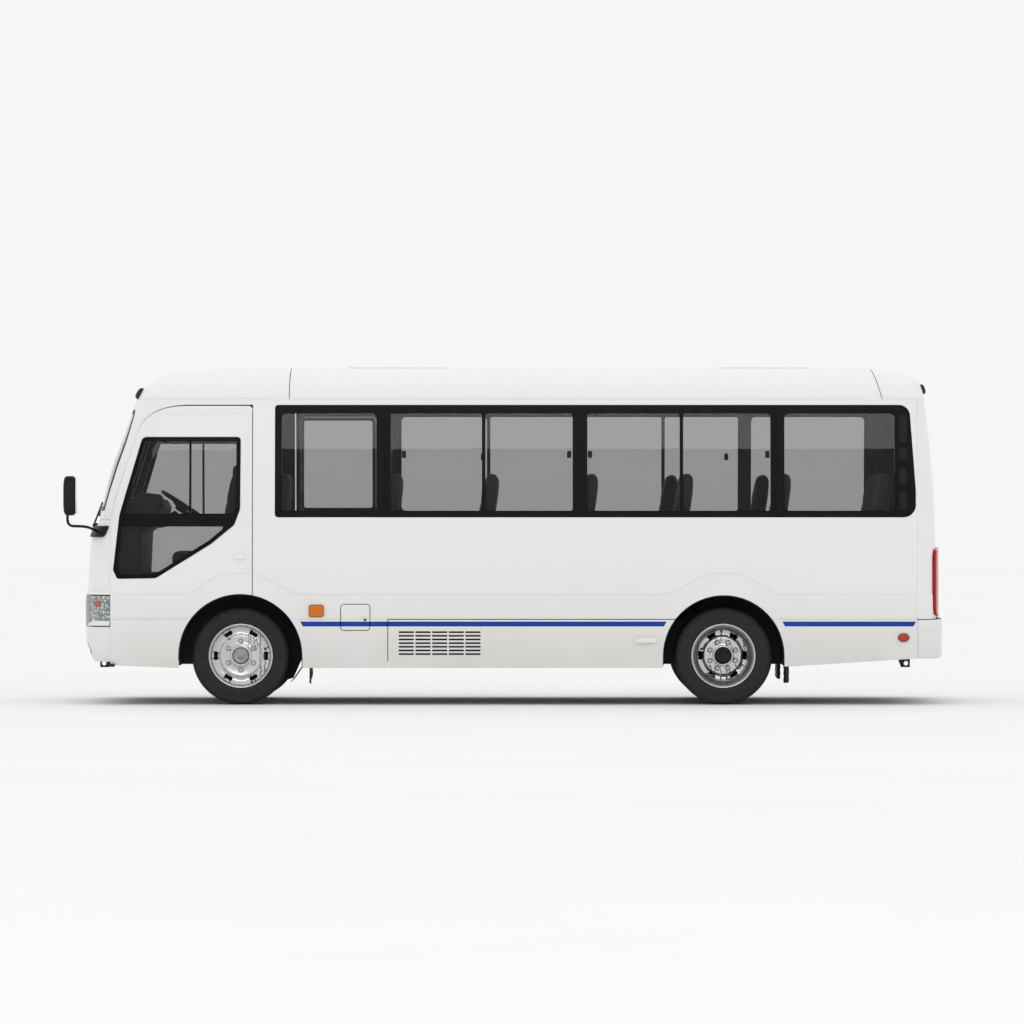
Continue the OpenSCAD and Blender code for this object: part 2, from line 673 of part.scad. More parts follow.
module fuel_flap() {
    color("white") intersection() {
        along_x(flap_x[0], flap_x[1]) wall_section([flap_z[0], 690, flap_z[1]], 0, 12);
        along_y(900, 1100) polygon(rounded(box_outline(flap_x[0], flap_x[1], flap_z[0], flap_z[1]), 22));
    }
}
module steering_wheel() {
    color("black") translate(steering_centre) rotate([0, -steering_tilt, 0]) {
        rotate_extrude() translate([steering_r - 14, 0]) circle(r = 14);
        translate([0, 0, -62]) cylinder(h = 42, r = 55);
        for (a = [90, 210, 330])
            rotate([0, 0, a]) rod([20, 0, -40], [steering_r - 14, 0, 0], 11);
    }
}
module knuckle() {
    translate([front_axle_x, 0, 0]) {
        translate([0, kingpin_y, 302]) cylinder(h = 188, r = 20);
        for (z = [302, 441])
            difference() {
                union() {
                    translate([0, kingpin_y, z]) cylinder(h = 49, r = 42);
                    block([-42, kingpin_y, z], [42, 832, z + 49]);
                }
            }
        block([-42, 808, 302], [42, 832, 490]);
        translate([0, 926, axle_z]) rotate([90, 0, 0]) cylinder(h = 926 - 815, r = 35);
        block([-190, 700, 445], [-20, 735, 470]);
        block([-60, 700, 445], [-20, 780, 470]);
    }
}
module front_left_knuckle() {
    color("dimgray") knuckle();
}
module front_right_knuckle() {
    color("dimgray") mirror([0, 1, 0]) knuckle();
}
// Slots through a wheel disc, one end round at each side
module disc_slots(r, y0, y1) {
    for (k = [0:5])
        rotate([0, k * 60, 0]) along_y(y0, y1) polygon(rounded(box_outline(-43, 43, r - 18, r + 18), 17));
}
module rim(y) {
    translate([0, y, 0]) rotate([90, 0, 0]) rotate_extrude() polygon([[228, -88], [rim_r, -88], [rim_r, -80],
        [242, -74], [242, 74], [rim_r, 80], [rim_r, 88], [228, 88]]);
}
module front_wheel() {
    translate([front_axle_x, 0, axle_z]) {
        rim(front_wheel_y);
        difference() {
            translate([0, front_wheel_y, 0]) rotate([-90, 0, 0]) rotate_extrude() polygon([
                [35 + running_fit, -8], [86, -8], [86, 40], [170, 40], [229, 12], [229, 24], [172, 52],
                [86, 52], [86, 72], [64, 80], [60, 104], [0, 108], [0, 84], [35 + running_fit, 84]]);
            disc_slots(203, 800, 960);
        }
    }
}
module front_left_wheel() {
    color("silver") front_wheel();
}
module front_right_wheel() {
    color("silver") mirror([0, 1, 0]) front_wheel();
}
module rear_wheels() {
    middle_y = rear_outer_y - twin_pitch / 2;
    translate([rear_axle_x, 0, axle_z]) {
        rim(rear_outer_y);
        rim(rear_outer_y - twin_pitch);
        difference() {
            translate([0, middle_y, 0]) rotate([-90, 0, 0]) rotate_extrude() polygon([
                [45 + running_fit, -120], [110, -120], [110, -12], [210, -12], [229, -44], [240, -44],
                [240, 44], [229, 44], [210, 12], [110, 12], [84, 40], [84, 150], [66, 158], [66, 180],
                [0, 184], [0, 158], [45 + running_fit, 158]]);
            disc_slots(178, middle_y - 50, middle_y + 50);
        }
    }
}
module rear_left_wheels() {
    color("silver") rear_wheels();
}
module rear_right_wheels() {
    color("silver") mirror([0, 1, 0]) rear_wheels();
}
module tyre(x, y) {
    half = tyre_w / 2;
    translate([x, y, axle_z]) rotate([90, 0, 0]) rotate_extrude() polygon([
        [243, -72], [263, -79], [264, -half + 6], [300, -half + 1], [340, -half], [376, -half + 7],
        [391, -half + 22], [tyre_r, -half + 46], [tyre_r, half - 46], [391, half - 22], [376, half - 7],
        [340, half], [300, half - 1], [264, half - 6], [263, 79], [243, 72]]);
}
module front_left_tyre() {
    color("black") tyre(front_axle_x, front_wheel_y);
}
module front_right_tyre() {
    color("black") tyre(front_axle_x, -front_wheel_y);
}
module rear_left_tyres() {
    color("black") for (y = [rear_outer_y, rear_outer_y - twin_pitch])
        tyre(rear_axle_x, y);
}
module rear_right_tyres() {
    color("black") for (y = [-rear_outer_y, twin_pitch - rear_outer_y])
        tyre(rear_axle_x, y);
}

chassis_frame();
cross_members();
engine();
fuel_tank();
exhaust();
propeller_shaft();
front_axle();
rear_axle();
leaf_springs();
floor();
wheel_houses();
engine_cover();
entrance_steps();
left_side_wall();
right_side_wall();
right_front_panel();
front_panel();
windscreen_pillars();
roof_panel();
roof_front_cap();
roof_rear_cap();
rear_panel();
front_bumper();
rear_bumper();
windscreen();
windows();
window_frames();
headlights();
tail_lights();
marker_lamps();
mirrors();
wipers();
mud_flaps();
dashboard();
driver_seat();
passenger_seats();
grab_rails();
driver_door();
driver_door_glass();
entrance_door();
entrance_door_glass();
side_hatch();
fuel_flap();
steering_wheel();
front_left_knuckle();
front_right_knuckle();
front_left_wheel();
front_right_wheel();
rear_left_wheels();
rear_right_wheels();
front_left_tyre();
front_right_tyre();
rear_left_tyres();
rear_right_tyres();
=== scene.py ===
# %% [markdown]
# # A seven-metre minibus
# The construction is loaded as a fixed frame: bodies, joints and plain solids, in metres, with +X forward,
# +Y to the vehicle's left and +Z up. This file gives each piece its real surface. The outer skin of a bus is
# thin sheet steel pressed over a frame, so it is made here as curved sheets with rolled edges. All of them
# sample one body shape, which is why neighbouring panels meet without a step.

# %% Frame and units
import math
import random

import bmesh
import bpy
import numpy as np
from mathutils import Matrix, Vector, noise
from mathutils.geometry import delaunay_2d_cdt


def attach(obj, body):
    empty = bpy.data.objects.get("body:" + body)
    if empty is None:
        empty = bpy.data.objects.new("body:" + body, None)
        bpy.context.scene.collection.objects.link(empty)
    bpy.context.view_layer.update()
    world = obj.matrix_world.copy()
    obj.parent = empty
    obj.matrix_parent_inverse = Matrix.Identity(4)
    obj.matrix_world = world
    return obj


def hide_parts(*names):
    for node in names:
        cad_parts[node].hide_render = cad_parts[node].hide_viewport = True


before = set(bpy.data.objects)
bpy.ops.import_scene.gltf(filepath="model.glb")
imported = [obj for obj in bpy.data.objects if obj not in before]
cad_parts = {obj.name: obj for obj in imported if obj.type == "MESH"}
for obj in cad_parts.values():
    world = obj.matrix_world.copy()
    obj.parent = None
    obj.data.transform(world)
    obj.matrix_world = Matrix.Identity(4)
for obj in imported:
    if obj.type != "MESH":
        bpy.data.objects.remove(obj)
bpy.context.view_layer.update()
MM = 0.001
random.seed(7)
LEFT, RIGHT = 1, -1

# %% [markdown]
# ## The camera
# A long lens far away keeps the side view almost free of perspective, as a product picture of a long
# vehicle needs. It looks along -Y, square to the left side, at the height of the window sills.

# %% Camera
lens_mm, sensor_mm = 200, 36
view_width, wall_y = 8.29, 1.04
view_x, view_z = -0.057, 1.563
camera_data = bpy.data.cameras.new("side_camera")
camera_data.lens, camera_data.sensor_width = lens_mm, sensor_mm
camera_data.clip_end = 400
camera = bpy.data.objects.new("side_camera", camera_data)
bpy.context.collection.objects.link(camera)
camera.location = (view_x, wall_y + view_width * lens_mm / sensor_mm, view_z)
camera.rotation_euler = (math.radians(90), 0, math.radians(180))
bpy.context.scene.camera = camera
bpy.context.scene.view_settings.view_transform = "Standard"

# %% [markdown]
# ## One body shape
# A bus body is drawn by a few lines: how wide it is at each height, where its nose and tail are on the
# centre line, and how square its corners are in plan. Smooth interpolation through a few heights gives the
# profile lines, and a superellipse turns the corners. A grid of control points could hold the same shape,
# but formulas let every panel, pane and lamp ask for the surface exactly where it needs it.

# %% Body lines, in millimetres
half_width_max, waist_z, tumblehome, tuck_under = 1042, 900, 78, 20
skirt_z, gutter_z, crown_z, crown_power, roof_z = 300, 2433, 2440, 3.5, 2749
nose_depth, nose_power, tail_depth, tail_power = 420, 5, 185, 4.5
nose_line = [(300, 3366), (443, 3398), (524, 3427), (849, 3431), (930, 3414), (1336, 3390), (1417, 3362),
             (1498, 3316), (1555, 3310), (1904, 3228), (2148, 3138), (2391, 3049), (2521, 3000), (2554, 2986),
             (2586, 2943), (2651, 2850), (2700, 2736), (2725, 2558), (2741, 2233), (2749, 1762)]
tail_line = [(300, -3519), (1336, -3517), (1742, -3500), (1985, -3483), (2391, -3439), (2521, -3423),
             (2619, -3394), (2651, -3374), (2684, -3321), (2716, -3207), (2749, -2960)]


def smooth_line(points):
    """Monotone cubic curve through (key, value) points, as a function."""
    keys, values = [p[0] for p in points], [p[1] for p in points]
    steps = [(values[i + 1] - values[i]) / (keys[i + 1] - keys[i]) for i in range(len(keys) - 1)]
    slopes = [steps[0]] + [0 if a * b <= 0 else 2 * a * b / (a + b) for a, b in zip(steps, steps[1:])]
    slopes.append(steps[-1])

    def value(key):
        key = min(max(key, keys[0]), keys[-1])
        i = min(int(np.searchsorted(keys, key, side="right")) - 1, len(keys) - 2)
        h = keys[i + 1] - keys[i]
        t = (key - keys[i]) / h
        return (values[i] * (1 + 2 * t) * (1 - t) ** 2 + slopes[i] * h * t * (1 - t) ** 2
                + values[i + 1] * t * t * (3 - 2 * t) + slopes[i + 1] * h * t * t * (t - 1))
    return value


nose_x, tail_x = smooth_line(nose_line), smooth_line(tail_line)


def half_width(z):
    """Half width of the body at height z."""
    if z > waist_z:
        side = half_width_max - tumblehome * ((z - waist_z) / (gutter_z - waist_z)) ** 1.6
    else:
        side = half_width_max - tuck_under * ((waist_z - z) / (waist_z - skirt_z)) ** 2
    over = min(1, max(0, (z - crown_z) / (roof_z - crown_z)))
    return side * (1 - over ** 2) ** (1 / crown_power)


def corner(s, power):
    return max(0.0, 1 - min(1.0, max(0.0, s)) ** power) ** (1 / power)


def side_point(x, z, depth=0.0, side=LEFT):
    """Point of the side wall at station x and height z, sunk by depth under the skin."""
    y = (half_width(z) - depth) * corner((x - nose_x(z) + depth + nose_depth) / nose_depth, nose_power)
    y *= corner((tail_x(z) + depth + tail_depth - x) / tail_depth, tail_power)
    return (x, side * y, z)


def end_point(a, z, depth=0.0, tail=False):
    """Point of the nose or tail at plan angle a, 0 on the left side and 180 on the right."""
    sine, cosine = math.sin(math.radians(a)), math.cos(math.radians(a))
    power, reach = (tail_power, tail_depth) if tail else (nose_power, nose_depth)
    back = reach * (1 - max(0.0, sine) ** (2 / power))
    x = tail_x(z) + depth + back if tail else nose_x(z) - depth - back
    return (x, math.copysign((half_width(z) - depth) * abs(cosine) ** (2 / power), cosine), z)


# %% [markdown]
# ## Outlines
# A panel starts as a flat outline, exactly as a template for cutting sheet would. The helpers below round
# its corners with true arcs, split its long sides so that they can bend with the body, and move the whole
# line in or out by a few millimetres for gaps and rolled edges.

# %% Outline helpers
def inset(loop, d):
    """Moves every side of an anticlockwise loop inwards by d."""
    points = np.array(loop, float)
    before = points - np.roll(points, 1, 0)
    after = np.roll(points, -1, 0) - points
    e = before / np.linalg.norm(before, axis=1)[:, None]
    f = after / np.linalg.norm(after, axis=1)[:, None]
    move = np.stack([-e[:, 1] - f[:, 1], e[:, 0] + f[:, 0]], 1)
    scale = d / np.maximum(0.35, 1 + (e * f).sum(1))
    return points + move * scale[:, None]


def rounded(loop, r, steps=6):
    """Rounds the corners of a loop. r is one radius, or one for each corner."""
    radii = r if isinstance(r, (list, tuple)) else [r] * len(loop)
    out = []
    for i, here in enumerate(loop):
        b = Vector(here)
        u = (Vector(loop[i - 1]) - b).normalized()
        v = (Vector(loop[(i + 1) % len(loop)]) - b).normalized()
        if radii[i] <= 0 or u.dot(v) < -0.9995:
            out.append(tuple(b))
            continue
        half = math.acos(u.dot(v)) / 2
        centre = b + (u + v).normalized() * radii[i] / math.sin(half)
        start = b + u * radii[i] / math.tan(half) - centre
        end = b + v * radii[i] / math.tan(half) - centre
        for k in range(steps + 1):
            mix = (start * (steps - k) + end * k).normalized()
            out.append(tuple(centre + mix * radii[i]))
    return out


def box_loop(x0, x1, z0, z1):
    return [(x0, z0), (x1, z0), (x1, z1), (x0, z1)]


def bend(a, b, c, steps):
    """Points of a quadratic curve from a to c, drawn towards b."""
    a, b, c = Vector(a), Vector(b), Vector(c)
    return [tuple(a * (1 - t) ** 2 + b * 2 * t * (1 - t) + c * t * t) for t in np.linspace(0, 1, steps + 1)]


def arc(x, z, r, start, end, steps):
    return [(x + r * math.cos(math.radians(a)), z + r * math.sin(math.radians(a)))
            for a in np.linspace(start, end, steps + 1)]


def split(loop, longest):
    """Adds points so that no side of the loop is longer than longest."""
    out = []
    for i, a in enumerate(loop):
        b = loop[(i + 1) % len(loop)]
        a, b = Vector(a), Vector(b)
        count = max(1, math.ceil((b - a).length / longest))
        out += [tuple(a.lerp(b, k / count)) for k in range(count)]
    return out


def inside(points, loop):
    """Which of the points lie inside the loop, by counting crossings."""
    p, a = np.asarray(points, float), np.asarray(loop, float)
    b = np.roll(a, -1, 0)
    x, z = p[:, :1], p[:, 1:]
    spans = (a[:, 1] > z) != (b[:, 1] > z)
    rise = np.where(b[:, 1] == a[:, 1], 1e-9, b[:, 1] - a[:, 1])
    cross = a[:, 0] + (z - a[:, 1]) * (b[:, 0] - a[:, 0]) / rise
    return (spans & (x < cross)).sum(1) % 2 == 1


def distance(points, segments):
    """Distance from each point to the nearest of the segments."""
    p = np.asarray(points, float)[:, None, :]
    a, b = segments[None, :, 0], segments[None, :, 1]
    along = b - a
    t = np.clip(((p - a) * along).sum(2) / np.maximum((along ** 2).sum(2), 1e-9), 0, 1)
    return np.sqrt((((a + along * t[:, :, None]) - p) ** 2).sum(2)).min(1)


# %% [markdown]
# ## Pressed sheet panels
# Real panels end in a folded edge a few millimetres round, and that small radius is what makes a shut line
# read as a gap between two sheets and not as a drawn line. A boolean cut would leave it sharp, so the
# outline is triangulated directly, its rim is rolled over in four steps, and the same net is repeated
# underneath at the wall's full thickness. Extra rows of points follow each pressed crease, so the crease
# stays crisp.

# %% Sheet builder
def link(name, mesh, materials, body, slot, replaced=()):
    """Puts a mesh in the scene, on its body, with its finishes."""
    piece = bpy.data.objects.new(name, mesh)
    bpy.context.collection.objects.link(piece)
    for material in materials if isinstance(materials, (list, tuple)) else [materials]:
        mesh.materials.append(material)
    mesh.shade_smooth()
    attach(piece, body)
    if replaced:
        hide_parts(*replaced)
    return piece


def weighted(piece):
    """Lets the large faces set the shading."""
    shading = piece.modifiers.new("face_weighting", "WEIGHTED_NORMAL")
    shading.keep_sharp = True
    return piece


def outward(mesh, merge=0.0, upward=False):
    """Merges points closer than merge and turns the faces outwards; an open skin is turned upwards."""
    work = bmesh.new()
    work.from_mesh(mesh)
    if merge:
        bmesh.ops.remove_doubles(work, verts=work.verts, dist=merge)
    bmesh.ops.recalc_face_normals(work, faces=work.faces)
    if upward and sum(f.normal.z * f.calc_area() for f in work.faces) < 0:
        bmesh.ops.reverse_faces(work, faces=work.faces)
    work.to_mesh(mesh)
    work.free()
    return mesh


def grid_faces(rows, columns, ring=True, closed=False, start=0):
    """Four-sided faces over a grid of points. ring joins its last column to its first, closed its last row."""
    faces = []
    for j in range(rows if closed else rows - 1):
        here, there = start + j * columns, start + (j + 1) % rows * columns
        for i in range(columns if ring else columns - 1):
            k = (i + 1) % columns
            faces.append((here + i, here + k, there + k, there + i))
    return faces


def clean_piece(name, verts, faces, materials, body, slot, replaced=()):
    """Makes a piece from points in metres, with its doubled points merged and its faces turned outwards."""
    mesh = bpy.data.meshes.new(name)
    mesh.from_pydata(verts, [], faces)
    return link(name, outward(mesh, 0.00002), materials, body, slot, replaced)


def sheet_net(outline, holes, rows, step, rim):
    """Triangle net of an outline with holes: its points, triangles and edge loops."""
    loops = [inset(outline, rim)] + [inset(hole, -rim) for hole in holes]
    points, edges, spans = [], [], []
    for loop in loops:
        first = len(points)
        spans.append(range(first, first + len(loop)))
        points += [tuple(p) for p in loop]
        edges += [(first + i, first + (i + 1) % len(loop)) for i in range(len(loop))]
    segments = np.array([[points[a], points[b]] for a, b in edges])

    def keep(candidates, clearance, near):
        good = inside(candidates, loops[0])
        for hole in loops[1:]:
            good &= ~inside(candidates, hole)
        return good & (distance(candidates, near) > clearance)

    row_segments = []
    for row in rows:
        good = keep(row, 3.0, segments)
        previous = None
        for point, used in zip(row, good):
            if not used:
                previous = None
                continue
            points.append(tuple(point))
            if previous is not None:
                edges.append((previous, len(points) - 1))
                row_segments.append([points[previous], points[-1]])
            previous = len(points) - 1
    low, high = segments.min((0, 1)), segments.max((0, 1))
    du, dv = step
    grid = [(u + (k % 2) * du / 2, v) for k, v in enumerate(np.arange(low[1] + dv, high[1], dv))
            for u in np.arange(low[0] + du / 2, high[0], du)]
    if grid:
        near = np.concatenate([segments, np.array(row_segments)]) if row_segments else segments
        chosen = keep(grid, min(du, dv) * 0.55, near)
        points += [p for p, used in zip(grid, chosen) if used]
    made = delaunay_2d_cdt([Vector(p) for p in points], edges, [], 0, 0.01, True)
    net, triangles, origin = made[0], made[2], made[3]
    where = {}
    for index, sources in enumerate(origin):
        for source in sources:
            where[source] = index
    centres = [sum((net[i] for i in t), Vector((0, 0))) / 3 for t in triangles]
    good = inside(centres, loops[0])
    for hole in loops[1:]:
        good &= ~inside(centres, hole)
    triangles = [t for t, used in zip(triangles, good) if used]
    return [tuple(p) for p in net], triangles, [[where[i] for i in span] for span in spans]


def sheet_mesh(name, outline, holes, place, t, rim=3.0, rows=(), step=(60, 25), edge_step=25, rim_steps=4,
               two_finishes=False):
    """Curved sheet: place(u, v, depth) gives each point of it in space."""
    outline = split(outline, edge_step)
    holes = [split(hole, edge_step) for hole in holes]
    rim = min(rim, t * 0.45)
    net, triangles, loops = sheet_net(outline, holes, rows, step, rim)
    used = sorted({i for tri in triangles for i in tri})
    index = {old: new for new, old in enumerate(used)}
    verts = [place(*net[i], 0.0) for i in used]
    faces = [tuple(index[i] for i in tri) for tri in triangles]
    under = {}
    for loop, line, sign in zip(loops, [outline] + holes, [1] + [-1] * len(holes)):
        ring = [index[i] for i in loop]
        rings = [ring]
        angles = [math.radians(90 * k / rim_steps) for k in range(1, rim_steps + 1)]
        levels = [(rim * (1 - math.sin(a)), rim * (1 - math.cos(a))) for a in angles]
        levels += [(0.0, t - rim)] + [(rim * (1 - math.cos(a)), t - rim * (1 - math.sin(a))) for a in angles]
        for shrink, depth in levels:
            moved = inset(line, sign * shrink)
            rings.append(list(range(len(verts), len(verts) + len(line))))
            verts += [place(u, v, depth) for u, v in moved]
        for a, b in zip(rings, rings[1:]):
            for i in range(len(a)):
                j = (i + 1) % len(a)
                quad = (a[i], b[i], b[j], a[j])
                faces.append(quad if sign > 0 else quad[::-1])
        under.update(zip(ring, rings[-1]))
    lining_from = len(faces)
    for new, old in enumerate(used):
        if new not in under:
            under[new] = len(verts)
            verts.append(place(*net[old], t))
    faces += [tuple(under[index[i]] for i in reversed(tri)) for tri in triangles]
    mesh = bpy.data.meshes.new(name)
    mesh.from_pydata([tuple(c * MM for c in v) for v in verts], [], faces)
    if two_finishes:
        for polygon in mesh.polygons[lining_from:]:
            polygon.material_index = 1
    return outward(mesh)


def sheet(name, outline, holes, place, t, materials, body, slot, replaced=(), **options):
    """A finished panel made from its flat outline."""
    mesh = sheet_mesh(name, outline, holes, place, t, two_finishes=isinstance(materials, list), **options)
    piece = link(name, mesh, materials, body, slot, replaced)
    weighted(piece)
    return piece

# %% [markdown]
# ## Materials
# Every finish starts from what the real thing is and how its surface was made. One function turns sRGB
# colours to linear values, one adds a node with its settings and links, and two short recipes are used all
# over: clouds of one colour in another, and a fine relief that bends the light without changing the shape.

# %% Material helpers
def linear(hexa):
    """An sRGB hex colour as linear red, green, blue and alpha."""
    parts = [int(hexa[i:i + 2], 16) / 255 for i in (0, 2, 4)]
    return tuple(c / 12.92 if c <= 0.04045 else ((c + 0.055) / 1.055) ** 2.4 for c in parts) + (1.0,)


def add(tree, kind, inputs=None, **settings):
    """Adds a node. Each input is a plain value, another node (its first output) or an output to link from."""
    node = tree.nodes.new(kind)
    for key, value in settings.items():
        setattr(node, key, value)
    for key, value in (inputs or {}).items():
        if isinstance(value, bpy.types.Node):
            value = value.outputs[0]
        if isinstance(value, bpy.types.NodeSocket):
            tree.links.new(value, node.inputs[key])
        else:
            node.inputs[key].default_value = value
    return node


def principled(name, **shader_values):
    """A new material with one principled shader: returns it, its tree, the shader and object coordinates."""
    material = bpy.data.materials.new(name)
    material.use_nodes = True
    tree = material.node_tree
    tree.nodes.clear()
    values = {key.replace("_", " "): value for key, value in shader_values.items()}
    shader = add(tree, "ShaderNodeBsdfPrincipled", values)
    add(tree, "ShaderNodeOutputMaterial", {"Surface": shader})
    return material, tree, shader, add(tree, "ShaderNodeTexCoord").outputs["Object"]


def between(tree, share, first, second):
    """A colour from first to second by share; each colour is sRGB hex or an output to link from."""
    first, second = (linear(c) if isinstance(c, str) else c for c in (first, second))
    return add(tree, "ShaderNodeMix", {0: share, 6: first, 7: second}, data_type="RGBA").outputs[2]


def paint(tree, shader, share, first, second):
    """Colours the shader between two colours by share."""
    tree.links.new(between(tree, share, first, second), shader.inputs["Base Color"])


def clouds(tree, shader, where, size_mm, first, second):
    """Soft clouds of the second colour in the first, about size_mm across."""
    cloud = add(tree, "ShaderNodeTexNoise", {"Vector": where, "Scale": 1 / (size_mm * MM), "Detail": 4.0})
    share = add(tree, "ShaderNodeMapRange", {"Value": cloud, "From Min": 0.35, "From Max": 0.7})
    paint(tree, shader, share, first, second)


def relief(tree, shader, height, depth_mm, strength):
    """Bends the shading by a height pattern depth_mm deep."""
    bump = add(tree, "ShaderNodeBump", {"Height": height, "Distance": depth_mm * MM, "Strength": strength})
    tree.links.new(bump.outputs[0], shader.inputs["Normal"])


# %% [markdown]
# White bus enamel is a two-pack paint: pigment under a clear coat. The pigment scatters nearly all light,
# and the coat lays a clear reflection over it. Spraying leaves a faint orange peel a few millimetres
# across, which keeps long reflections from looking like a mirror's. From a metre down the white darkens
# in soft clouds: partly road film on the skirts, partly painted shade for the floor's shadow under the body.
# The blue line along the skirts is a film cut with slanted ends, so it is drawn by position and
# follows its own panel.

# %% Paint with the blue line
stripe_z = (636, 676)
stripe_runs = [(-1298, 1648), (-3319, -2257)]
stripe_slant = 0.55
outer_skin_y = 1.015


def body_enamel():
    material, tree, shader, where = principled("white_two_pack_enamel", Roughness=0.32, IOR=1.5,
                                               Specular_IOR_Level=0.2, Coat_Weight=0.1, Coat_Roughness=0.05)
    axes = add(tree, "ShaderNodeSeparateXYZ", {"Vector": where})
    x, y, z = axes.outputs
    cloud = add(tree, "ShaderNodeTexNoise", {"Vector": where, "Scale": 1.2, "Detail": 4.0})
    # painted shade and road film: below a metre the white darkens towards dadad6, partly dust, partly the
    # floor's shadow on the skirts
    low = add(tree, "ShaderNodeMapRange", {"Value": z, "From Min": 0.3, "From Max": 1.0, "To Min": 1.0,
                                           "To Max": 0.0}, interpolation_type="SMOOTHSTEP")
    road_film_and_shade = add(tree, "ShaderNodeMath", {0: low, 1: cloud}, operation="MULTIPLY")
    white = between(tree, road_film_and_shade, "f3f3f1", "dadad6")
    middle, half = sum(stripe_z) / 2 * MM, (stripe_z[1] - stripe_z[0]) / 2 * MM
    mask = add(tree, "ShaderNodeMath", {0: z, 1: middle, 2: half}, operation="COMPARE")
    out = add(tree, "ShaderNodeMath", {0: y}, operation="ABSOLUTE")
    skin = add(tree, "ShaderNodeMath", {0: out, 1: outer_skin_y}, operation="GREATER_THAN")
    mask = add(tree, "ShaderNodeMath", {0: mask, 1: skin}, operation="MULTIPLY")
    lean = add(tree, "ShaderNodeMath", {0: z, 1: stripe_slant, 2: -stripe_slant * middle},
               operation="MULTIPLY_ADD")
    runs = []
    for rear, front in stripe_runs:
        reach = add(tree, "ShaderNodeMath", {0: lean, 1: (front - rear) / 2 * MM}, operation="ADD")
        runs.append(add(tree, "ShaderNodeMath", {0: x, 1: (rear + front) / 2 * MM, 2: reach},
                        operation="COMPARE"))
    either = add(tree, "ShaderNodeMath", {0: runs[0], 1: runs[1]}, operation="MAXIMUM")
    mask = add(tree, "ShaderNodeMath", {0: mask, 1: either}, operation="MULTIPLY")
    paint(tree, shader, mask, white, "003ca0")
    peel = add(tree, "ShaderNodeTexNoise", {"Vector": where, "Scale": 140.0, "Detail": 2.0})
    relief(tree, shader, peel, 0.25, 0.05)
    return material


enamel = body_enamel()

# %% [markdown]
# Bus side glass is soda-lime float glass with a grey body tint. A pane is thin and flat, so light goes
# straight on through it: each face lets a share pass unbent, takes the rest, and shines by a few per cent.
# Drawing it by alpha keeps that, and lets the lamps light the cabin without the grain that true refraction
# would leave. Furnace rollers leave a very faint waviness, which a low relief gives.

# %% Glass
def glass(name, tint, taken, ior=1.5, wave=0.01):
    """Thin pane: taken is the share of light that each of its faces keeps back."""
    material, tree, shader, where = principled(name, Base_Color=linear(tint), Roughness=0.0, IOR=ior,
                                               Alpha=taken)
    rollers = add(tree, "ShaderNodeTexNoise", {"Vector": where, "Scale": 4.0, "Detail": 1.0})
    relief(tree, shader, rollers, 0.4, wave)
    return material


tinted_glass = glass("grey_tinted_float_glass", "0a0a0a", 0.27)
door_glass = glass("grey_door_glass", "0a0a0a", 0.27)
clear_glass = glass("laminated_windscreen_glass", "202826", 0.16, 1.8)
clear_cover = glass("polycarbonate_lamp_cover", "c8cccc", 0.1, 1.9, 0.005)

# %% [markdown]
# Mouldings, rubber and paint differ in what a grazing light finds on them. Moulded plastic has a fine
# leather grain, rubber is matt with a slight bloom, and chassis enamel is brushed on over rough castings.
# The grain is drawn at three to nine millimetres, coarser than the real half millimetre, because a finer
# one can't show on a seven-metre object. The fired border and the plates have only a slow unevenness.

# %% Plastics, rubber and chassis paint
def grained(name, first, second, roughness, grain_mm, strength, patch_mm=160, **shader_values):
    material, tree, shader, where = principled(name, Roughness=roughness, **shader_values)
    clouds(tree, shader, where, patch_mm, first, second)
    grain = add(tree, "ShaderNodeTexNoise", {"Vector": where, "Scale": 1 / (grain_mm * MM), "Detail": 2.0})
    relief(tree, shader, grain, 0.3, strength)
    return material


black_frit = grained("black_ceramic_frit", "0c0c0d", "111112", 0.3, 40, 0.02, Specular_IOR_Level=0.08)
black_moulding = grained("grained_black_ABS", "101011", "161617", 0.4, 3, 0.12, Specular_IOR_Level=0.2)
seal_rubber = grained("extruded_rubber_seal", "0c0d0e", "141516", 0.5, 5, 0.12)
flap_rubber = grained("moulded_rubber_sheet", "121314", "202020", 0.7, 8, 0.3)
dash_vinyl = grained("grained_dashboard_vinyl", "222427", "2a2c2f", 0.6, 3, 0.25)
lining_board = grained("dark_lining_board", "2c2d2f", "242527", 0.6, 6, 0.1)
floor_vinyl = grained("ribbed_floor_vinyl", "36393d", "404347", 0.55, 6, 0.2)
chassis_enamel = grained("brushed_chassis_enamel", "101113", "1f1d1b", 0.5, 9, 0.3)
trim = (black_moulding, "body", "black_trim")
lined = ([enamel, lining_board], "body", "body_paint")
step_rubber = grained("studded_step_rubber", "232527", "2e3032", 0.65, 9, 0.5)
plate_enamel = grained("blank_plate_enamel", "dededa", "d4d4cf", 0.4, 30, 0.02)
white_abs = grained("white_grained_ABS", "f0f0ee", "e9e9e6", 0.4, 4, 0.06)

# %% [markdown]
# Bare metals take their colour from the reflection itself. Chromed steel is nearly a mirror, zinc on the
# nuts is duller, and the exhaust has gone brown where it was hot. The clouds shift the colour and the
# relief is the grinding left under the plating.

# %% Metals
def metal(name, first, second, roughness, patch_mm=60, strength=0.02):
    material, tree, shader, where = principled(name, Metallic=1.0, Roughness=roughness)
    clouds(tree, shader, where, patch_mm, first, second)
    ground = add(tree, "ShaderNodeTexNoise", {"Vector": where, "Scale": 160.0, "Detail": 3.0})
    relief(tree, shader, ground, 0.2, strength)
    return material


